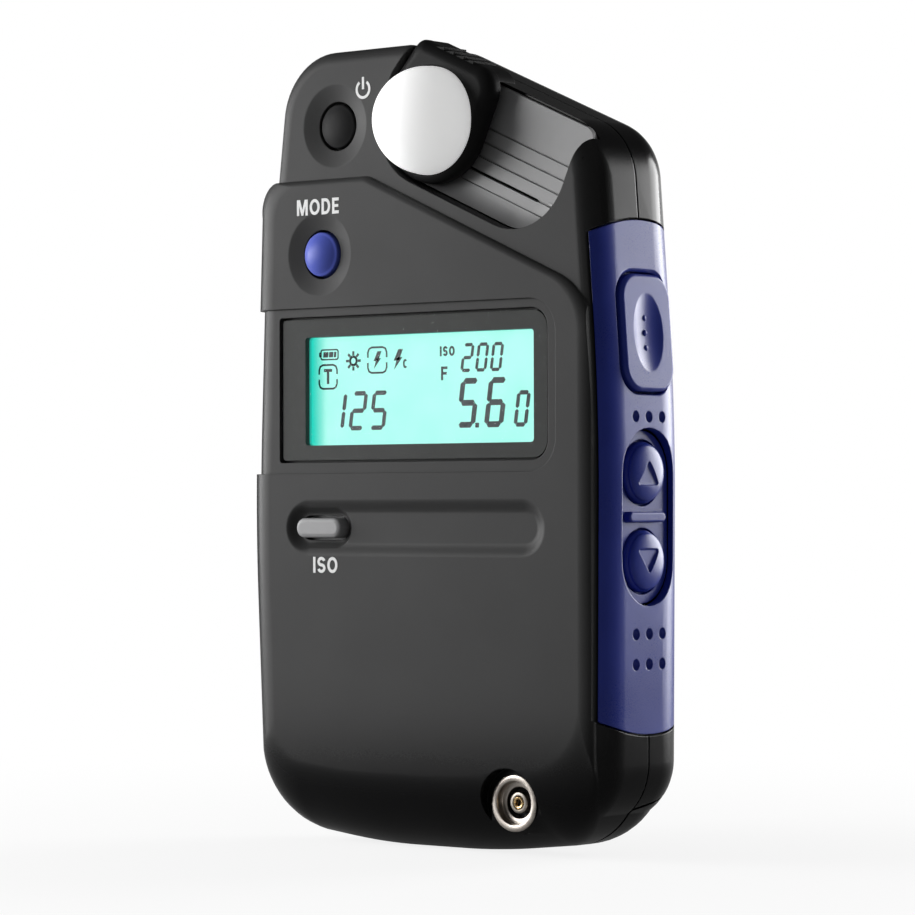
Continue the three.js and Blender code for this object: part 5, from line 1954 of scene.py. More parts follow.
    def at_pin(self, radius: float, half: float) -> Form:
        """Return an upright disc about the strap pin."""
        return disc(radius, -half, half).moved(self.bay.pin_x, self.bay.pin_y, self.bay.pin_z)


@dataclass(frozen=True)
class BatteryDoor:
    """The sliding door over the battery bay, with its rails and finger grooves."""

    size: BaySizes = BAY
    grooves: int = 4
    groove_pitch: float = 1.6
    groove_reach: float = 7.0
    groove_half: float = 0.35

    def plate(self, spread: float) -> Form:
        """Return the door's plate on the back.

        Args:
            spread: how far it is larger than the door.

        Returns:
            The plate.
        """
        b = self.size
        outline = oblong(b.door_left - spread, b.door_right + spread,
                         b.crease_front - b.door_radius - 0.5, b.door_top + spread, b.door_radius)
        return front_plate(outline, CASE.back - b.door_depth - spread, CASE.back + 1)

    def rails(self, spread: float) -> Form:
        """Return the rails beside the plate.

        Args:
            spread: how far they are larger than the rails.

        Returns:
            The rails, as one plate.
        """
        b = self.size
        front = CASE.back - b.door_depth + CASE.gap - spread
        outline = oblong(b.door_left - b.rail - spread, b.door_right + b.rail + spread,
                         b.crease_back + 3, b.door_top - b.door_radius + spread, 0.4, 2)
        return front_plate(outline, front, front + b.rail_thickness + spread * 2)

    def foot_zone(self, spread: float) -> Form:
        """Return the rear half of the foot below the slanting crease.

        Args:
            spread: how far it is larger than the door.

        Returns:
            The zone.
        """
        b = self.size
        back = CASE.back + 1
        slant = (b.crease_back - b.crease_front) / CASE.back
        front = CASE.gap - spread
        outline = [Vector(corner) for corner in (
            (front, -1), (back, -1), (back, b.crease_front + slant * back + spread),
            (front, b.crease_front + slant * CASE.gap + spread))]
        return side_plate(outline, -40, 40)

    def groove(self, z: float) -> Form:
        """Return one finger groove at a height.

        Args:
            z: the height.

        Returns:
            The groove, as a form to cut with.
        """
        reach, half = self.groove_reach, self.groove_half
        bar = Cushion(lambda inset: oblong(-reach + inset, reach - inset, z - half + inset * 0.6,
                                           z + half - inset * 0.6, 0.34 - inset * 0.6, 8),
                      -1.0, 0.4, 0.3)
        return bar.facing_front().moved(0, CASE.back, 0)

    def build(self, hull: Hull) -> None:
        """Carve and place the door.

        Args:
            hull: the outer body.
        """
        b = self.size
        foot = Carving("door_foot", self.foot_zone(0)).cut(
            CASE_FORM.drawn_in(CASE_FORM.panel, CASE.core_front, CASE.wall, 2))
        door = Carving("bay_door", self.plate(0)).join(self.rails(0), foot)
        door.keep(hull.part("inside", -1, CASE.back + 1))
        half = b.radius + b.clearance
        hollow = oblong(b.left - CASE.gap, b.left + b.length + CASE.gap, b.z - half,
                        b.door_top + 1, 0)
        heights = [b.door_top - b.door_radius - self.groove_pitch * (index + 1)
                   for index in range(self.grooves)]
        door.cut(front_plate(hollow, 0, b.y + b.radius + CASE.gap), *map(self.groove, heights))
        place(door.done(), "door", "shell_plastic", Finishes.SHELL, "battery_door")


@dataclass(frozen=True)
class SideGrip:
    """The grip on the right side, with its measuring key and two arrow keys."""

    size: SideKeySizes = SIDE
    pit_rows: tuple = (-2.9, 0, 2.9)
    lower_pits: tuple = (9.6, 13.6)
    dots: tuple = (-2.0, 0.0, 2.0)
    plunger: float = 26.2
    dish_half: float = 3.3
    dish_length: float = 5.4
    dish_depth: float = 0.7

    def build(self, hull: Hull) -> None:
        """Carve and place the grip and its keys.

        Args:
            hull: the outer body; not used.
        """
        s = self.size
        core = Carving("core", CASE_FORM.body(CASE_FORM.core, CASE.core_front))
        grip = grip_zone(s.thickness, 0).keep(core)
        upper = (s.measure_z - s.measure_half_height + s.up_z + s.arrow_radius) / 2
        cuts = self.openings()
        pit = self.pit().turned_by(TO_RIGHT)
        for height in (upper, *(s.down_z - drop for drop in self.lower_pits)):
            for row in self.pit_rows:
                cuts.append(on_side(pit.moved(-flank(height), row, 0), height))
        cover = grip.cut(*cuts).rename("side_grip_cover").done()
        place(cover, "case", "blue_plastic", Finishes.GRIP, "side_grip")
        self.place_measure_key()
        self.place_arrow_key("up_arrow_key", "up_button", "up_key", s.up_z, 1)
        self.place_arrow_key("down_arrow_key", "down_button", "down_key", s.down_z, -1)
        self.place_bridge()

    def openings(self) -> list[Form]:
        """Return the openings for the keys, the tall one with a bevelled rim.

        Returns:
            The forms to cut with.
        """
        s = self.size
        r = CASE.running
        bevel = [side_ring(upright(s.measure_half_width + r + rise, s.measure_half_height + r + rise,
                                   s.measure_radius + r + rise, 10), x)
                 for x, rise in ((-0.75, -0.1), (-0.35, 0.02), (-0.1, 0.3), (0.15, 0.75), (0.6, 1.6))]
        return [
            slot_plate(s.measure_half_width + r, s.measure_half_height + r, s.measure_radius + r,
                       -s.thickness - 1, 1, s.measure_z),
            on_side(loft(bevel), s.measure_z),
            arrow_slot(0, -s.thickness - 1, 1),
        ]

    @staticmethod
    def pit() -> Form:
        """Return one dimple of the grip."""
        bowl = [(0.78 * math.sin(a), 0.08 - 0.7 * math.cos(a)) for a in (0.35, 0.7, 1.05, 1.3, 1.5)]
        return turned([(0, -0.62)] + bowl + [(0.95, 0.16), (1.1, 1), (0, 1)], 32)

    def stem(self, height: float) -> Form:
        """Return the stem from a key's cap to its switch."""
        foot = self.plunger + 0.65 - side_x(height)
        return side_disc(self.size.stem_radius, foot, -self.size.thickness - CASE.gap, height)

    def place_measure_key(self) -> None:
        """Build the tall key: rounded rim, long dish, three raised dots."""
        s = self.size
        top = -s.thickness - CASE.seam
        foot = top - s.flange_thickness
        cap = Cushion(lambda inset: upright(s.measure_half_width - inset,
                                            s.measure_half_height - inset,
                                            max(s.measure_radius - inset, 0.3), 12),
                      foot, s.measure_proud, 0.55, 0.0, 8)
        key = Carving("measure_key_cap", on_side(cap.facing_right(), s.measure_z))
        key.cut(on_side(self.long_dish(), s.measure_z))
        dot = turned([(0, -0.5), (0.4, -0.5)] + crown_arc(0.4, -0.12, 0.22, 6), 24)
        dots = [on_side(dot.turned_by(TO_RIGHT).moved(0, 0, rise), s.measure_z)
                for rise in self.dots]
        flange = slot_plate(s.measure_half_width + s.flange, s.measure_half_height + s.flange,
                            s.measure_radius, foot, top, s.measure_z)
        key.join(*dots, flange, self.stem(s.measure_z))
        place(key.done(), "measure_button", "blue_plastic", Finishes.GRIP, "measure_key")

    def long_dish(self) -> Form:
        """Return the long bowl that is sunk into the tall key.

        Returns:
            The bowl, as a form to cut with.
        """
        half, deep = self.dish_half, self.dish_depth
        radius = (half ** 2 + deep ** 2) / (2 * deep)
        arc = [(radius * math.sin(a), -radius * math.cos(a))
               for a in [math.pi * step / 48 for step in range(1, 48)]]
        bowl = turned([(0, -radius)] + arc + [(0, radius)], 64).turned_by(TO_RIGHT)
        drawn = bowl.turned_by(Matrix.Scale(self.dish_length / half, 4, (0, 0, 1)))
        return drawn.moved(self.size.measure_proud + radius - deep, 0, 0)

    def place_arrow_key(self, name: str, body: str, node: str, height: float, towards: int) -> None:
        """Build one round key with a sunk arrow.

        Args:
            name: the piece's name.
            body: the body it rides on.
            node: the CAD node it stands for.
            height: its height on the side.
            towards: 1 where the arrow points up, -1 where it points down.
        """
        s = self.size
        radius = s.arrow_radius
        top = -s.thickness - CASE.gap - 0.1
        foot = top - s.flange_thickness
        profile = [(0, foot), (radius + s.flange, foot), (radius + s.flange, top), (radius, top),
                   (radius, -1.3), (radius - 0.12, -1.1), (radius - 0.3, -0.9)]
        profile += crown_arc(radius - 0.3, -0.75, 0.85, 16)
        key = Carving(name, on_side(turned(profile, 72).turned_by(TO_RIGHT), height))
        tip, wide = 1.75 * towards, 2.5 * towards
        corners = [(-wide, -tip), (wide, -tip), (0.0, tip)]
        layers = ((-0.32, 0.84), (-0.2, 0.93), (0.0, 0.98), (0.3, 1.05), (2.0, 1.3))
        sunk = loft([side_ring(rounded([(y * grow, z * grow) for y, z in corners], [0.3] * 3, 4), x)
                     for x, grow in layers])
        key.join(self.stem(height)).cut(on_side(sunk.moved(0, -0.25, 0), height))
        place(key.done(), body, "blue_plastic", Finishes.GRIP, node)

    def place_bridge(self) -> None:
        """Build the plate between the arrow keys, with its short raised bar."""
        s = self.size
        foot = -s.thickness - CASE.gap
        plate = Carving("arrow_bridge", slot_plate(
            s.slot_half, s.arrow_half - CASE.running, s.slot_half, foot, foot + 0.7, s.arrow_middle))
        plate.cut(*[side_disc(s.arrow_radius + CASE.running, foot - 1, 1, z)
                    for z in (s.up_z, s.down_z)])
        bar = Cushion(lambda inset: upright(4 - inset, 0.7 - inset, 0.7 - inset, 10), foot, -0.4, 0.3)
        plate.join(on_side(bar.facing_right(), s.arrow_middle))
        place(plate.done(), "case", "blue_plastic", Finishes.GRIP, "key_bridge")


@dataclass(frozen=True)
class LightSlider:
    """The slider that carries the light dome along the sloping track."""

    size: TrackSizes = TRACK
    blade_reach: float = 2.6
    blade_half: float = 0.1
    skirt: float = 0.06
    dome_wall: float = 1.1

    def build(self) -> None:
        """Carve and place the carriage and the dome, and dress what lies in the track."""
        self.place_carriage()
        self.place_dome()
        self.place_track_lining()
        dress("sensor_window", Finishes.OPAL)
        dress("slider_keeper", Finishes.DARK)
        dress("photodiode", Finishes.CHIP)

    def place_carriage(self) -> None:
        """Build the plate, its toothed thumb tab, the dome's seat and the guide blade."""
        t = self.size
        layers = [(2.3, t.back), (1.2, t.back - 0.25), (0.4, t.back - 0.65), (0.0, t.back - 1.15)]
        layers += [(t.rim * (1 - math.cos(a)), t.front + t.rim * (1 - math.sin(a)))
                   for a in [math.pi / 20 * step for step in range(11)]]
        plate = loft([front_ring(slider_shape(inset), y) for inset, y in layers])
        slider = Carving("dome_slider", on_slope(plate))
        low = t.rise + CASE.gap
        tab = Carving("thumb_tab",
                      slope_plate(slider_shape(0.03), t.front + t.rim + 0.3, t.back + 2.2))
        slider.join(tab.keep(slope_plate(oblong(-20, 20, low, 20, 0), -AHEAD, 0)))
        for index in range(t.teeth):
            slider.join(self.tooth(index))
        seat = -t.front - t.seat
        blade = oblong(-self.blade_reach, self.blade_reach, -t.blade_drop - self.blade_half,
                       -t.blade_drop + self.blade_half, self.blade_half, 3)
        slider.cut(front_disc(3.4, -t.floor_back, AHEAD, t.dome_x, t.dome_z),
                   front_disc(t.dome_radius + CASE.seam, seat, AHEAD, t.dome_x, t.dome_z, 72))
        slider.join(slope_plate(blade, t.back - 0.4, -4.0))
        place(slider.done(), "slider", "black_plastic", Finishes.SLIDER, "slider_carriage")

    def tooth(self, index: int) -> Form:
        """Return one tooth of the thumb tab.

        Args:
            index: which tooth, from the left.

        Returns:
            The tooth.
        """
        t = self.size
        left = -(t.teeth * t.tooth_pitch) / 2 + index * t.tooth_pitch
        right = left + t.tooth_pitch
        foot = t.rise + t.lift
        corners = [(left, foot), (right, foot), (right, foot + t.tooth_height)]
        return slope_plate(rounded(corners, [0.0, 0.0, 0.12], 4), t.front + 0.8, t.back + 1.8)

    def groove(self, foot: float, top: float, depth: float) -> Form:
        """Return one straight groove of the lining.

        Args:
            foot: where it begins across the slope.
            top: where it ends across the slope.
            depth: how far its floor lies behind the plate.

        Returns:
            The groove, as a form to cut with.
        """
        t = self.size
        return slope_plate(oblong(t.groove_left, t.groove_right, foot, top, 0), -AHEAD,
                           t.plate_front + depth)

    def place_track_lining(self) -> None:
        """Build the track's satin lining: a grooved floor that curves up at its lower rim."""
        t = self.size
        reach = t.half_width + CASE.running - CASE.seam
        outline = slider_outline(-reach, reach + t.travel, reach, t.rise - 0.4, 2.2)
        lining = Carving("track_lining", slope_plate(outline, t.lip, t.floor))
        hollow = [front_ring(track_outline(spread), y) for spread, y in (
            (-3.0, t.plate_front), (-2.2, t.plate_front - 0.07), (-1.5, t.plate_front - 0.24),
            (-0.9, t.plate_front - 0.5), (-0.45, t.plate_front - 0.85), (-0.1, t.lip - 0.1),
            (0.3, -AHEAD))]
        half = t.groove_half
        grooves = [self.groove(z - half, z + half, 0.28) for z in (*t.grooves, -t.blade_drop)]
        slot = oblong(-t.slot_reach, t.slot_reach + t.travel, -t.blade_drop - 0.2,
                      -t.blade_drop + 0.2, 0.2, 4)
        lining.cut(
            on_slope(loft(hollow)),
            slope_plate(oblong(-30, 60, -3.6, 30, 0), -AHEAD, t.plate_front),
            *grooves,
            self.groove(-5.95, -5.77, 0.2),
            slope_plate(slot, -AHEAD, t.floor + 1),
            front_disc(t.light_hole, 0, AHEAD, t.dome_x, t.dome_z),
            corner_wedge(0.15),
        )
        place(lining.done(), "case", "satin_grey", Finishes.TRACK, "slide_plate")

    def place_dome(self) -> None:
        """Build the hollow dome with its short skirt and a fine step at its foot."""
        t = self.size
        base = -t.front - t.seat
        inner = t.dome_radius - self.dome_wall
        outer = t.dome_radius - self.skirt
        outside = [(t.dome_radius, base), (t.dome_radius, base + 0.5), (outer, base + 0.62)]
        outside += crown_arc(outer, base + 0.8, t.dome_radius, 28)
        inside = list(reversed(crown_arc(inner, base + 0.8, inner, 16)))
        profile = inside + [(inner, base)] + outside
        dome = facing_front(turned(profile, 96), t.dome_x, t.dome_z).thing("opal_dome")
        place(soften(dome), "slider", "opal", Finishes.OPAL, "light_dome")


@dataclass(frozen=True)
class Print:
    """A plain word beside a key."""

    text: str
    name: str
    left: float
    foot: float


@dataclass(frozen=True)
class FrontKeys:
    """The round keys, the oblong key, and the plain words beside them."""

    size: FrontKeySizes = FRONT_KEYS
    words: tuple = (Print("MODE", "printed_mode", -21.5, 87.1),
                    Print("ISO", "printed_iso", -18.6, 37.6))
    letter_height: float = 2.2
    letter_stroke: float = 0.42
    letter_scale: float = 1.2
    ink: float = 0.05
    sign_x: float = -10.1
    sign_z: float = 104.0
    sign_radius: float = 1.14
    sign_stroke: float = 0.38
    sign_top: float = 105.7

    @property
    def flange_top(self) -> float:
        """Return how far the keys' flanges stand from the seam plane."""
        return CASE.core_front - CASE.wall - CASE.seam

    def build(self) -> None:
        """Place the keys and the printed words."""
        k = self.size
        self.place_round("power_button_cap", "power_button", "power_key", (k.power_x, k.power_z),
                         CASE.core_front - 0.15, 0.5, "black_plastic", Finishes.POWER)
        self.place_round("mode_button_cap", "mode_button", "mode_key", (k.mode_x, k.mode_z),
                         CASE.panel_front + 0.85, 1.1, "blue_plastic", Finishes.MODE)
        self.place_iso()
        for word in self.words:
            self.place_word(word)
        self.place_power_sign()

    def place_round(self, name: str, body: str, node: str, spot: tuple[float, float], face: float,
                    crown: float, slot: str, finish: Finish) -> None:
        """Build a round key.

        Args:
            name: the piece's name.
            body: the body it rides on.
            node: the CAD node it stands for.
            spot: its middle, seen from the front.
            face: how far its crown stands from the seam plane.
            crown: how far the crown rises above its rim.
            slot: the record's material slot.
            finish: what it is made of.
        """
        k = self.size
        top = self.flange_top
        foot = top - k.flange_thickness
        profile = [(0, k.stem_end), (k.stem_radius, k.stem_end), (k.stem_radius, foot),
                   (k.radius + k.flange, foot), (k.radius + k.flange, top), (k.radius, top)]
        profile += rim_arc(k.radius, face - crown - 0.3, 0.3, 5)
        edge = profile[-1]
        for step in range(1, 17):
            share = step / 16
            rise = crown * (1 - (1 - share) ** 2.2)
            profile.append((edge[0] * (1 - share), edge[1] + rise))
        cap = facing_front(turned(profile, 72), *spot).thing(name)
        place(soften(cap), body, slot, finish, node)

    def place_iso(self) -> None:
        """Build the oblong key with its flange and stem."""
        k = self.size
        face = CASE.panel_front - k.channel_depth + k.iso_proud
        top = self.flange_top
        foot = top - k.flange_thickness
        cap = Cushion(lambda inset: iso_outline(-inset), foot, face, 0.4, 0.06, 8).facing_front()
        key = Carving("iso_button_cap", cap).join(
            front_plate(iso_outline(k.flange), -top, -top + k.flange_thickness),
            front_disc(k.stem_radius, k.stem_end, top, k.iso_x, k.iso_z))
        place(key.done(), "iso_button", "grey_plastic", Finishes.ISO, "iso_key")

    def place_word(self, word: Print) -> None:
        """Print a plain word on the panel.

        Args:
            word: the word and its place.
        """
        marks = Marks(-CASE.panel_front + 0.02, self.ink)
        marks.word(word.text, word.left, word.foot, self.letter_height, self.letter_stroke,
                   self.letter_scale)
        place(marks.form().thing(word.name), "case", "grey_plastic", Finishes.PRINT)

    def place_power_sign(self) -> None:
        """Print the open ring with its stroke beside the power key."""
        marks = Marks(-CASE.core_front + 0.02, self.ink)
        x, z, radius = self.sign_x, self.sign_z, self.sign_radius
        turns = [math.radians(34 + step * 292 / 40) for step in range(41)]
        marks.line([(x + radius * math.sin(a), z + radius * math.cos(a)) for a in turns],
                   self.sign_stroke)
        marks.line([(x, z), (x, self.sign_top)], self.sign_stroke)
        place(marks.form().thing("printed_power_sign"), "case", "grey_plastic", Finishes.PRINT)


class Marks:
    """Flat marks drawn as strokes and patches, all on one plane that faces the front."""

    WIDTHS = {"M": 0.76, "O": 0.7, "D": 0.6, "E": 0.46, "I": 0.0, "S": 0.56, "F": 0.46, "C": 0.6,
              "T": 0.5}
    SEGMENTS = {"0": "abcdef", "1": "bc", "2": "abged", "5": "afgcd", "6": "afgedc"}
    ENDS = {"a": (0, 2, 1, 2), "g": (0, 1, 1, 1), "d": (0, 0, 1, 0), "f": (0, 1, 0, 2),
            "b": (1, 1, 1, 2), "e": (0, 0, 0, 1), "c": (1, 0, 1, 1)}
    LEAN = 0.15

    def __init__(self, back: float, thickness: float) -> None:
        """Set the plane.

        Args:
            back: where the marks lie along Y.
            thickness: how far they stand to the front.
        """
        self.back = back
        self.thickness = thickness
        self.patches: list[Ring] = []

    def patch(self, corners: Sequence[Sequence[float]]) -> None:
        """Add one filled patch, given anticlockwise."""
        self.patches.append([Vector(corner) for corner in corners])

    def line(self, places: Sequence[Sequence[float]], width: float) -> None:
        """Add a stroke of even width through the places, as one patch.

        Args:
            places: the points, from one end to the other.
            width: how wide the stroke is.
        """
        points = [Vector(place) for place in places]
        left: Ring = []
        right: Ring = []
        for index, here in enumerate(points):
            before = points[max(index - 1, 0)]
            after = points[min(index + 1, len(points) - 1)]
            along = (after - before).normalized()
            across = Vector((-along.y, along.x)) * width / 2
            left.append(here + across)
            right.append(here - across)
        self.patches.append(right + left[::-1])

    def loop(self, outline: Ring, width: float) -> None:
        """Add a closed stroke along an outline, as a chain of short patches.

        Args:
            outline: the outline.
            width: how wide the stroke is.
        """
        count = len(outline)
        for index in range(count):
            a, b = outline[index], outline[(index + 1) % count]
            along = (b - a).normalized()
            across = Vector((-along.y, along.x)) * width / 2
            reach = along * width * 0.2
            self.patches.append([a - across - reach, b - across + reach,
                                 b + across + reach, a + across - reach])

    def letter(self, value: str, left: float, foot: float, high: float, w: float,
               scale: float) -> float:
        """Add one plain letter.

        Args:
            value: the letter.
            left: where it begins.
            foot: its foot.
            high: how tall it is.
            w: how wide its stroke is.
            scale: how wide it is for its height.

        Returns:
            Where it ends.
        """
        wide = max(high * scale * self.WIDTHS[value], w)
        top, mid, m = high - w, high / 2, w / 2
        rx, rz, cx = wide / 2 - m, mid - m, wide / 2
        stem = [(0, 0), (w, 0), (w, high), (0, high)]
        shapes: dict[str, list[tuple[float, float]]] = {
            "M": [(0, 0), (w, 0), (w, high * 0.62), (cx - m * 0.8, 0), (cx + m * 0.8, 0),
                  (wide - w, high * 0.62), (wide - w, 0), (wide, 0), (wide, high),
                  (wide - w * 1.35, high), (cx, high * 0.36), (w * 1.35, high), (0, high)],
            "E": [(0, 0), (wide, 0), (wide, w), (w, w), (w, mid - m * 0.9),
                  (wide * 0.92, mid - m * 0.9), (wide * 0.92, mid + m * 0.9), (w, mid + m * 0.9),
                  (w, top), (wide, top), (wide, high), (0, high)],
            "F": [(0, 0), (w, 0), (w, mid - m), (wide * 0.9, mid - m), (wide * 0.9, mid + m),
                  (w, mid + m), (w, top), (wide, top), (wide, high), (0, high)],
            "T": [(cx - m, 0), (cx + m, 0), (cx + m, top), (wide, top), (wide, high), (0, high),
                  (0, top), (cx - m, top)],
            "I": stem,
            "D": stem,
        }
        turns = [math.radians(step * 7.5) for step in range(49)]
        bend = wide * 0.45
        bow = [(bend + (wide * 0.55 - m) * math.sin(a), mid - rz * math.cos(a)) for a in turns[1:24]]
        paths: dict[str, list[tuple[float, float]]] = {
            "O": [(cx + rx * math.cos(a), mid + rz * math.sin(a)) for a in turns],
            "C": [(cx + rx * math.cos(a + 0.8), mid + rz * math.sin(a + 0.8)) for a in turns[:37]],
            "D": [(w * 1.01, m), (bend, m)] + bow + [(bend, high - m), (w * 1.01, high - m)],
            "S": [(cx + rx * math.cos(a), mid + rz / 2 + rz / 2 * math.sin(a)) for a in turns[2:36]]
                 + [(cx + rx * math.sin(a), mid - rz / 2 + rz / 2 * math.cos(a)) for a in turns[:35]],
        }
        if value in shapes:
            self.patch([(left + x, foot + z) for x, z in shapes[value]])
        if value in paths:
            self.line([(left + x, foot + z) for x, z in paths[value]], w)
        return left + wide

    def word(self, text: str, left: float, foot: float, high: float, stroke: float,
             scale: float = 1.0) -> None:
        """Add several letters with an even space between them."""
        for value in text:
            left = self.letter(value, left, foot, high, stroke, scale) + stroke * 0.85

    def digit(self, value: str, left: float, foot: float, width: float, height: float,
              stroke: float) -> None:
        """Add one seven-segment figure that leans a little to the right.

        Args:
            value: the figure.
            left: where its foot begins.
            foot: its foot.
            width: how wide it is.
            height: how tall it is.
            stroke: how wide a segment is.
        """
        half = height / 2
        inner = width - stroke
        for name in self.SEGMENTS[value]:
            x0, z0, x1, z1 = self.ENDS[name]
            start = Vector((x0 * inner, z0 * (half - stroke / 2)))
            stop = Vector((x1 * inner, z1 * (half - stroke / 2)))
            along = (stop - start).normalized()
            across = Vector((-along.y, along.x)) * stroke / 2
            a = start + along * 0.06
            b = stop - along * 0.06
            tip = along * stroke * 0.38
            shape = [a, a + tip - across, b - tip - across, b, b - tip + across, a + tip + across]
            self.patches.append([Vector((left + stroke / 2 + p.x + (p.y + stroke / 2) * self.LEAN,
                                         foot + stroke / 2 + p.y)) for p in shape])

    def number(self, text: str, left: float, foot: float, width: float, height: float,
               pitch: float, stroke: float) -> None:
        """Add several figures; a point takes little room.

        Args:
            text: the figures, with or without a point.
            left: where the first begins.
            foot: their foot.
            width: how wide each is.
            height: how tall each is.
            pitch: how far one lies from the next.
            stroke: how wide a segment is.
        """
        for value in text:
            if value == ".":
                point = left - pitch + width
                self.patch(oblong(point + 0.1, point + 0.75, foot, foot + 0.65, 0.1, 3))
                continue
            self.digit(value, left, foot, width, height, stroke)
            left += pitch

    def form(self) -> Form:
        """Return all marks as thin plates.

        Returns:
            The plates, as one form.
        """
        points: list[Vector] = []
        faces: list[list[int]] = []
        for patch in self.patches:
            plate = front_plate(patch, self.back - self.thickness, self.back)
            faces += [[index + len(points) for index in face] for face in plate.faces]
            points += plate.points
        return Form(points, faces)


@dataclass(frozen=True)
class Display:
    """The window, the lit display behind it, its rim, and the figures it shows."""

    size: DisplaySizes = DISPLAY
    margin: float = 1.2
    panel_depth: float = 1.8
    pane_skin: float = 0.3
    border_sunk: float = 0.34
    play: float = 0.03

    def build(self) -> None:
        """Place the display from the back to the front."""
        d = self.size
        panel = Cushion(lambda inset: view_outline(self.margin - inset, 0.6, 6),
                        -d.face - self.panel_depth, -d.face, 0.15)
        place(soften(panel.facing_front().thing("lit_panel")), "case", "display", Finishes.LIT,
              "display_panel")
        self.place_rim()
        place(self.marks().thing("display_figures"), "case", "display", Finishes.INK)
        border = Carving("window_border", front_plate(
            window_outline(-0.05), d.pane_face + self.border_sunk, d.pane_face + d.pane))
        opening = oblong(d.view_left + 0.6, d.view_right + 0.6, d.view_foot, d.view_top, 0.5, 6)
        border.cut(front_plate(opening, -AHEAD, 0))
        place(border.done(), "case", "window", Finishes.BORDER)
        pane = Cushion(lambda inset: window_outline(-inset), -d.pane_face - self.pane_skin,
                       -d.pane_face, 0.12)
        place(soften(pane.facing_front().thing("clear_window")), "case", "window", Finishes.PANE,
              "display_window")
        dress("backlight", Finishes.OPAL)
        dress("display_frame", Finishes.DARK)
        dress("display_connector", Finishes.RUBBER)

    def place_rim(self) -> None:
        """Build the thin rim between the panel and the window, which glows by itself as painted light
        for the display's light on the opening's walls.
        """
        d = self.size
        outer = view_outline(d.rim - self.play, 0.88, 8)
        rim = Carving("lit_rim", front_plate(outer, d.pane_face + d.pane + 0.02, d.face - 0.02))
        rim.cut(front_plate(view_outline(0, 0.6, 8), -AHEAD, 0))
        place(rim.done(), "case", "display", Finishes.RIM)

    def marks(self) -> Form:
        """Return the figures and signs of the display.

        Returns:
            The figures and signs, as one form.
        """
        m = Marks(self.size.face - 0.02, self.play)
        self.battery_sign(m)
        self.sun_sign(m, -13.55, 66.85)
        self.bracket(m, -10.9, -7.5, 65.1, 68.6)
        self.bolt(m, -9.2, 66.85, 1.2)
        self.bolt(m, -5.45, 66.85, 1.4)
        m.word("C", -4.55, 65.6, 1.25, 0.27)
        self.bracket(m, -19.85, -16.55, 63.1, 66.4)
        m.word("T", -18.95, 63.75, 2.1, 0.42, 1.4)
        m.digit("1", -17.9, 57.25, 2.5, 5.4, 0.62)
        m.number("25", -14.5, 57.25, 2.85, 5.4, 3.75, 0.62)
        m.word("ISO", 2.0, 67.05, 1.35, 0.3, 1.05)
        m.number("200", 5.55, 64.8, 1.95, 3.9, 2.55, 0.46)
        m.word("F", 2.2, 63.8, 1.85, 0.36, 1.3)
        m.number("5.6", 4.75, 57.3, 3.3, 6.7, 4.85, 0.8)
        m.digit("0", 14.7, 57.3, 2.3, 4.85, 0.58)
        return m.form()

    @staticmethod
    def bracket(m: Marks, left: float, right: float, foot: float, top: float) -> None:
        """Add a rounded frame that is open half-way up both sides.

        Args:
            m: the marks to add to.
            left: its left side.
            right: its right side.
            foot: its foot.
            top: its top.
        """
        middle = (foot + top) / 2
        for low, high, way in ((foot, middle - 0.35, 1), (top, middle + 0.35, -1)):
            path = [(left, high), (left, low + 0.7 * way), (left + 0.22, low + 0.2 * way),
                    (left + 0.7, low), (right - 0.7, low), (right - 0.22, low + 0.2 * way),
                    (right, low + 0.7 * way), (right, high)]
            m.line(path, 0.27)

    @staticmethod
    def bolt(m: Marks, x: float, z: float, size: float) -> None:
        """Add a lightning flash as two slanting patches.

        Args:
            m: the marks to add to.
            x: its middle along X.
            z: its middle height.
            size: half its height.
        """
        m.patch([(x - 0.55 * size, z - 0.12 * size), (x + 0.12 * size, z - 0.12 * size),
                 (x + 0.62 * size, z + size), (x + 0.05 * size, z + size)])
        m.patch([(x - 0.5 * size, z - size), (x + 0.55 * size, z + 0.2 * size),
                 (x - 0.1 * size, z + 0.2 * size)])

    @staticmethod
    def sun_sign(m: Marks, x: float, z: float) -> None:
        """Add a ring with eight short rays.

        Args:
            m: the marks to add to.
            x: its middle along X.
            z: its middle height.
        """
        m.loop([Vector((x + 0.6 * math.cos(a), z + 0.6 * math.sin(a)))
                for a in [math.radians(step * 22.5) for step in range(16)]], 0.34)
        for step in range(8):
            a = math.radians(step * 45)
            ends = [(x + reach * math.cos(a), z + reach * math.sin(a)) for reach in (0.8, 1.34)]
            m.line(ends, 0.36)

    @staticmethod
    def battery_sign(m: Marks) -> None:
        """Add a small cell with its charge.

        Args:
            m: the marks to add to.
        """
        m.loop(oblong(-19.5, -16.35, 67.15, 68.5, 0.3, 4), 0.2)
        m.patch(oblong(-19.85, -19.55, 67.5, 68.15, 0.1, 3))
        for left, right in ((-19.1, -18.2), (-18.05, -17.3), (-17.15, -16.75)):
            m.patch([(left, 67.45), (right, 67.45), (right + 0.08, 68.2), (left + 0.08, 68.2)])


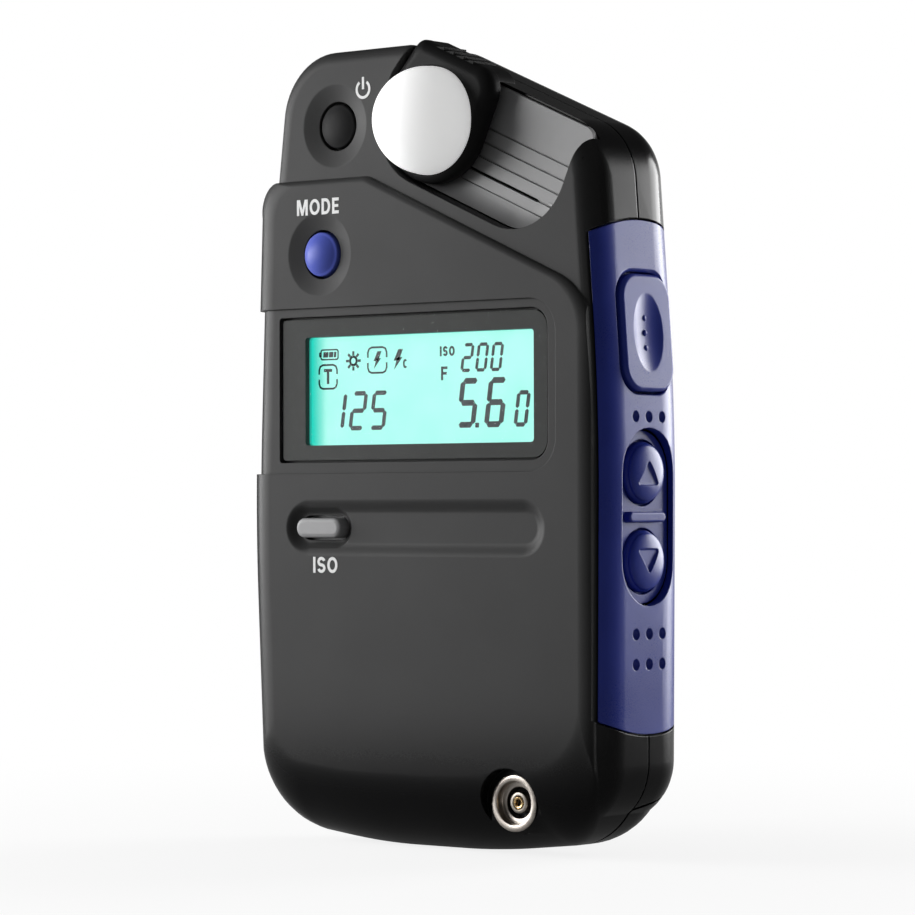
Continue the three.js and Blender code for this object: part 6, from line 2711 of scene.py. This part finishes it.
@dataclass(frozen=True)
class SyncSocket:
    """The plated sync socket beside the foot, with its ring and middle contact."""

    size: SocketSizes = SOCKET

    def build(self) -> None:
        """Place the socket's shell, ring and contact, and dress its nut."""
        s = self.size
        foot = s.face - s.length + s.cup
        rim = s.face + s.collar
        inner = rim - s.sunk
        shell = [(s.bore, foot), (s.barrel, foot), (s.barrel, s.face), (s.flange - 0.1, s.face),
                 (s.flange, s.face + 0.08), (s.flange, rim - 0.12), (s.flange - 0.04, rim - 0.04),
                 (s.flange - 0.14, rim), (s.step + 0.16, rim), (s.step + 0.05, rim - 0.03),
                 (s.step, rim - 0.12), (s.step - 0.02, inner + 0.12), (s.step - 0.1, inner),
                 (s.bore + 0.14, inner),
                 (s.bore + 0.04, inner - 0.04), (s.bore, inner - 0.14), (s.bore, foot)]
        self.place_turned("socket_shell", shell, "nickel", Finishes.NICKEL, "sync_shell")
        well = inner - s.cup
        ring = [(s.contact, foot), (s.bore, foot), (s.bore, well), (s.contact, well), (s.contact, foot)]
        self.place_turned("socket_ring", ring, "black_plastic", Finishes.DARK, "sync_insulator")
        top = inner + 0.2
        hole = s.contact_bore
        contact = [(0, foot - 0.4), (s.contact, foot - 0.4), (s.contact, top - 0.16),
                   (s.contact - 0.06, top - 0.05), (s.contact - 0.2, top), (hole + 0.55, top),
                   (hole + 0.42, top - 0.12), (hole + 0.38, top - 0.6), (hole, top - 0.6),
                   (hole, well), (0, well)]
        self.place_turned("socket_contact", contact, "contact_brass", Finishes.PIN, "sync_contact")
        eye = [(hole, top - 0.5), (hole + 0.3, top - 0.5), (hole + 0.36, top - 0.02),
               (hole + 0.26, top + 0.08), (hole + 0.06, top + 0.02), (hole, top - 0.1),
               (hole, top - 0.5)]
        self.place_turned("contact_eye", eye, "contact_brass", Finishes.GOLD)
        dress("sync_nut", Finishes.NICKEL)

    def place_turned(self, name: str, profile: list[tuple[float, float]], slot: str,
                     finish: Finish, *nodes: str) -> None:
        """Build one turned piece of the socket and place it."""
        piece = facing_front(turned(profile, 72), self.size.x, self.size.z).thing(name)
        place(soften(piece), "case", slot, finish, *nodes)


@dataclass(frozen=True)
class BatteryBay:
    """The cell, its tray and contacts, and the conical spring."""

    size: BaySizes = BAY
    steps_per_turn: int = 40

    def build(self) -> None:
        """Place the spring, and dress the other pieces of the bay."""
        b = self.size
        steps = int(b.turns * self.steps_per_turn)
        path = []
        for step in range(steps + 1):
            share = step / steps
            angle = share * b.turns * math.tau
            radius = b.spring_foot + (b.spring_head - b.spring_foot) * share
            start, stop = b.left - b.spring_room + b.wire, b.left - b.wire
            path.append(Vector((start + (stop - start) * share, b.y + radius * math.cos(angle),
                                b.z + radius * math.sin(angle))))
        spring = self.wire(path, b.wire, 12).thing("coil_spring")
        place(soften(spring, 60), "case", "nickel", Finishes.NICKEL, "battery_spring")
        for node, finish in (("battery_cell", Finishes.SLEEVE), ("battery_tray", Finishes.DARK),
                             ("battery_plate", Finishes.NICKEL)):
            dress(node, finish)

    @staticmethod
    def wire(path: list[Vector], radius: float, sides: int) -> Form:
        """Return a round wire along a path that coils about X.

        Args:
            path: the points that it follows.
            radius: half its thickness.
            sides: how many sides it has.

        Returns:
            The wire.
        """
        rings = []
        for index, here in enumerate(path):
            along = (path[min(index + 1, len(path) - 1)] - path[max(index - 1, 0)]).normalized()
            first = along.cross(Vector((1, 0, 0))).normalized()
            second = along.cross(first)
            rings.append([here + (first * math.cos(a) + second * math.sin(a)) * radius
                          for a in [math.tau * side / sides for side in range(sides)]])
        return loft(rings)


class Electronics:
    """The boards, switches and components inside, and the fasteners."""

    CHIPS = ("processor_chip", "analog_chip", "display_driver", "power_coil", "power_switch",
             "mode_switch", "iso_switch", "measure_switch", "up_switch", "down_switch")
    SCREWS = ("case_screw_head_left", "case_screw_head_right", "case_screw_foot_left",
              "case_screw_foot_right")

    def build(self) -> None:
        """Dress every piece."""
        for node in ("main_board", "side_board"):
            dress(node, Finishes.BOARD)
        for node in self.CHIPS:
            dress(node, Finishes.CHIP)
        for node in self.SCREWS:
            dress(node, Finishes.STEEL)
        dress("clock_crystal", Finishes.NICKEL)
        dress("filter_capacitor", Finishes.SLEEVE)
        dress("board_link", Finishes.RUBBER)
        dress("strap_pin", Finishes.NICKEL)


# Studio


@dataclass(frozen=True)
class Lamp:
    """One soft lamp, by its direction round the meter."""

    name: str
    azimuth: float
    elevation: float
    distance: float
    size: float
    power: float
    aim: float = 0.055

    def build(self) -> None:
        """Set the lamp and aim it at the meter's middle."""
        light = bpy.data.lights.new(self.name, "AREA")
        light.shape = "DISK"
        light.size = self.size
        light.energy = self.power
        turn, rise = math.radians(self.azimuth), math.radians(self.elevation)
        level = math.cos(rise)
        way = Vector((math.sin(turn) * level, -math.cos(turn) * level, math.sin(rise)))
        lamp = shown(self.name, light)
        lamp.location = way * self.distance + Vector((0, 0, self.aim))
        lamp.rotation_euler = way.to_track_quat("Z", "Y").to_euler()


@dataclass(frozen=True)
class Camera:
    """The camera at the photograph's viewing angle, as fitted to the case."""

    azimuth: float = math.radians(39.5)
    focal: float = 3720.336
    picture: float = 915.0
    sensor: float = 36.0
    distance: float = 511.187
    aside: float = -1.3753
    height: float = 46.448
    pitch: float = math.radians(0.784)
    roll: float = math.radians(-0.1333)

    def build(self) -> None:
        """Set the camera and make it the scene's own."""
        forward = Vector((-math.sin(self.azimuth), math.cos(self.azimuth), 0))
        right = Vector((math.cos(self.azimuth), math.sin(self.azimuth), 0))
        up = Vector((0, 0, 1))
        place_mm = -forward * self.distance + right * self.aside + up * self.height
        view = forward * math.cos(self.pitch) + up * math.sin(self.pitch)
        head = up * math.cos(self.pitch) - forward * math.sin(self.pitch)
        side = right * math.cos(self.roll) + head * math.sin(self.roll)
        head = head * math.cos(self.roll) - right * math.sin(self.roll)
        data = bpy.data.cameras.new("camera")
        data.sensor_width = self.sensor
        data.lens = self.focal / self.picture * self.sensor
        data.clip_start = 0.01
        data.clip_end = 20
        camera = shown("camera", data)
        turn = Matrix((side, head, -view)).transposed().to_4x4()
        camera.matrix_world = Matrix.Translation((place_mm + frame_shift()) * MM) @ turn
        bpy.context.scene.camera = camera


class Studio:
    """A pale floor, a white surround, soft lamps and the camera."""

    AMBIENT = 0.2
    FLOOR = 2.4
    FLOOR_STEPS = 96
    LAMPS = (
        Lamp("lamp_front_left", -51, 12, 0.46, 0.32, 2.3),
        Lamp("lamp_right_back", 160, 9, 0.5, 0.34, 3.0),
        Lamp("lamp_left", -80, 5, 0.5, 0.24, 1.3),
    )

    def build(self) -> None:
        """Set up the studio."""
        scene = bpy.context.scene
        scene.view_settings.view_transform = "Standard"
        self.place_floor()
        self.place_world()
        for lamp in self.LAMPS:
            lamp.build()
        Camera().build()

    def place_floor(self) -> None:
        """Lay the floor under the meter."""
        mesh = bpy.data.meshes.new("floor")
        angles = [math.tau * step / self.FLOOR_STEPS for step in range(self.FLOOR_STEPS)]
        ring = [Vector((self.FLOOR * math.cos(a), self.FLOOR * math.sin(a), 0)) for a in angles]
        mesh.from_pydata(ring, [], [list(range(self.FLOOR_STEPS))])
        floor = shown("floor", mesh)
        mesh.materials.append(FloorSheet("floor_sheet").material())

    def place_world(self) -> None:
        """Make a world that is white where it is seen or mirrored, and plain light elsewhere."""
        world = bpy.data.worlds.new("surround")
        bpy.context.scene.world = world
        graph = Graph(world)
        ray = graph.rays()
        _, along, up = graph.axes(graph.add("ShaderNodeTexCoord"))
        behind = along.steps(0.45, 0.95)
        low = 1 - up.steps(0.05, 0.36)
        glossy = ray("Glossy")
        mirrored = glossy * (behind * low * 0.95 + 0.05)
        seen = ray("Camera").either(ray("Transmission")).either(mirrored)
        light = graph.add("ShaderNodeBackground", sockets={
            "Color": (1.0, 1.0, 1.0), "Strength": (1 - glossy) * self.AMBIENT})
        white = graph.add("ShaderNodeBackground", sockets={
            "Color": (1.0, 1.0, 1.0), "Strength": 1.0})
        graph.finish(graph.mixed(seen, light, white))


def main() -> None:
    """Build the meter and its studio."""
    logging.basicConfig(level=logging.INFO, format="%(message)s")
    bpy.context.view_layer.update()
    Studio().build()
    hull = Hull()
    Shells().build(hull)
    BatteryDoor().build(hull)
    SideGrip().build(hull)
    hull.drop()
    LightSlider().build()
    FrontKeys().build()
    Display().build()
    SyncSocket().build()
    BatteryBay().build()
    Electronics().build()


if __name__ == "__main__":
    main()
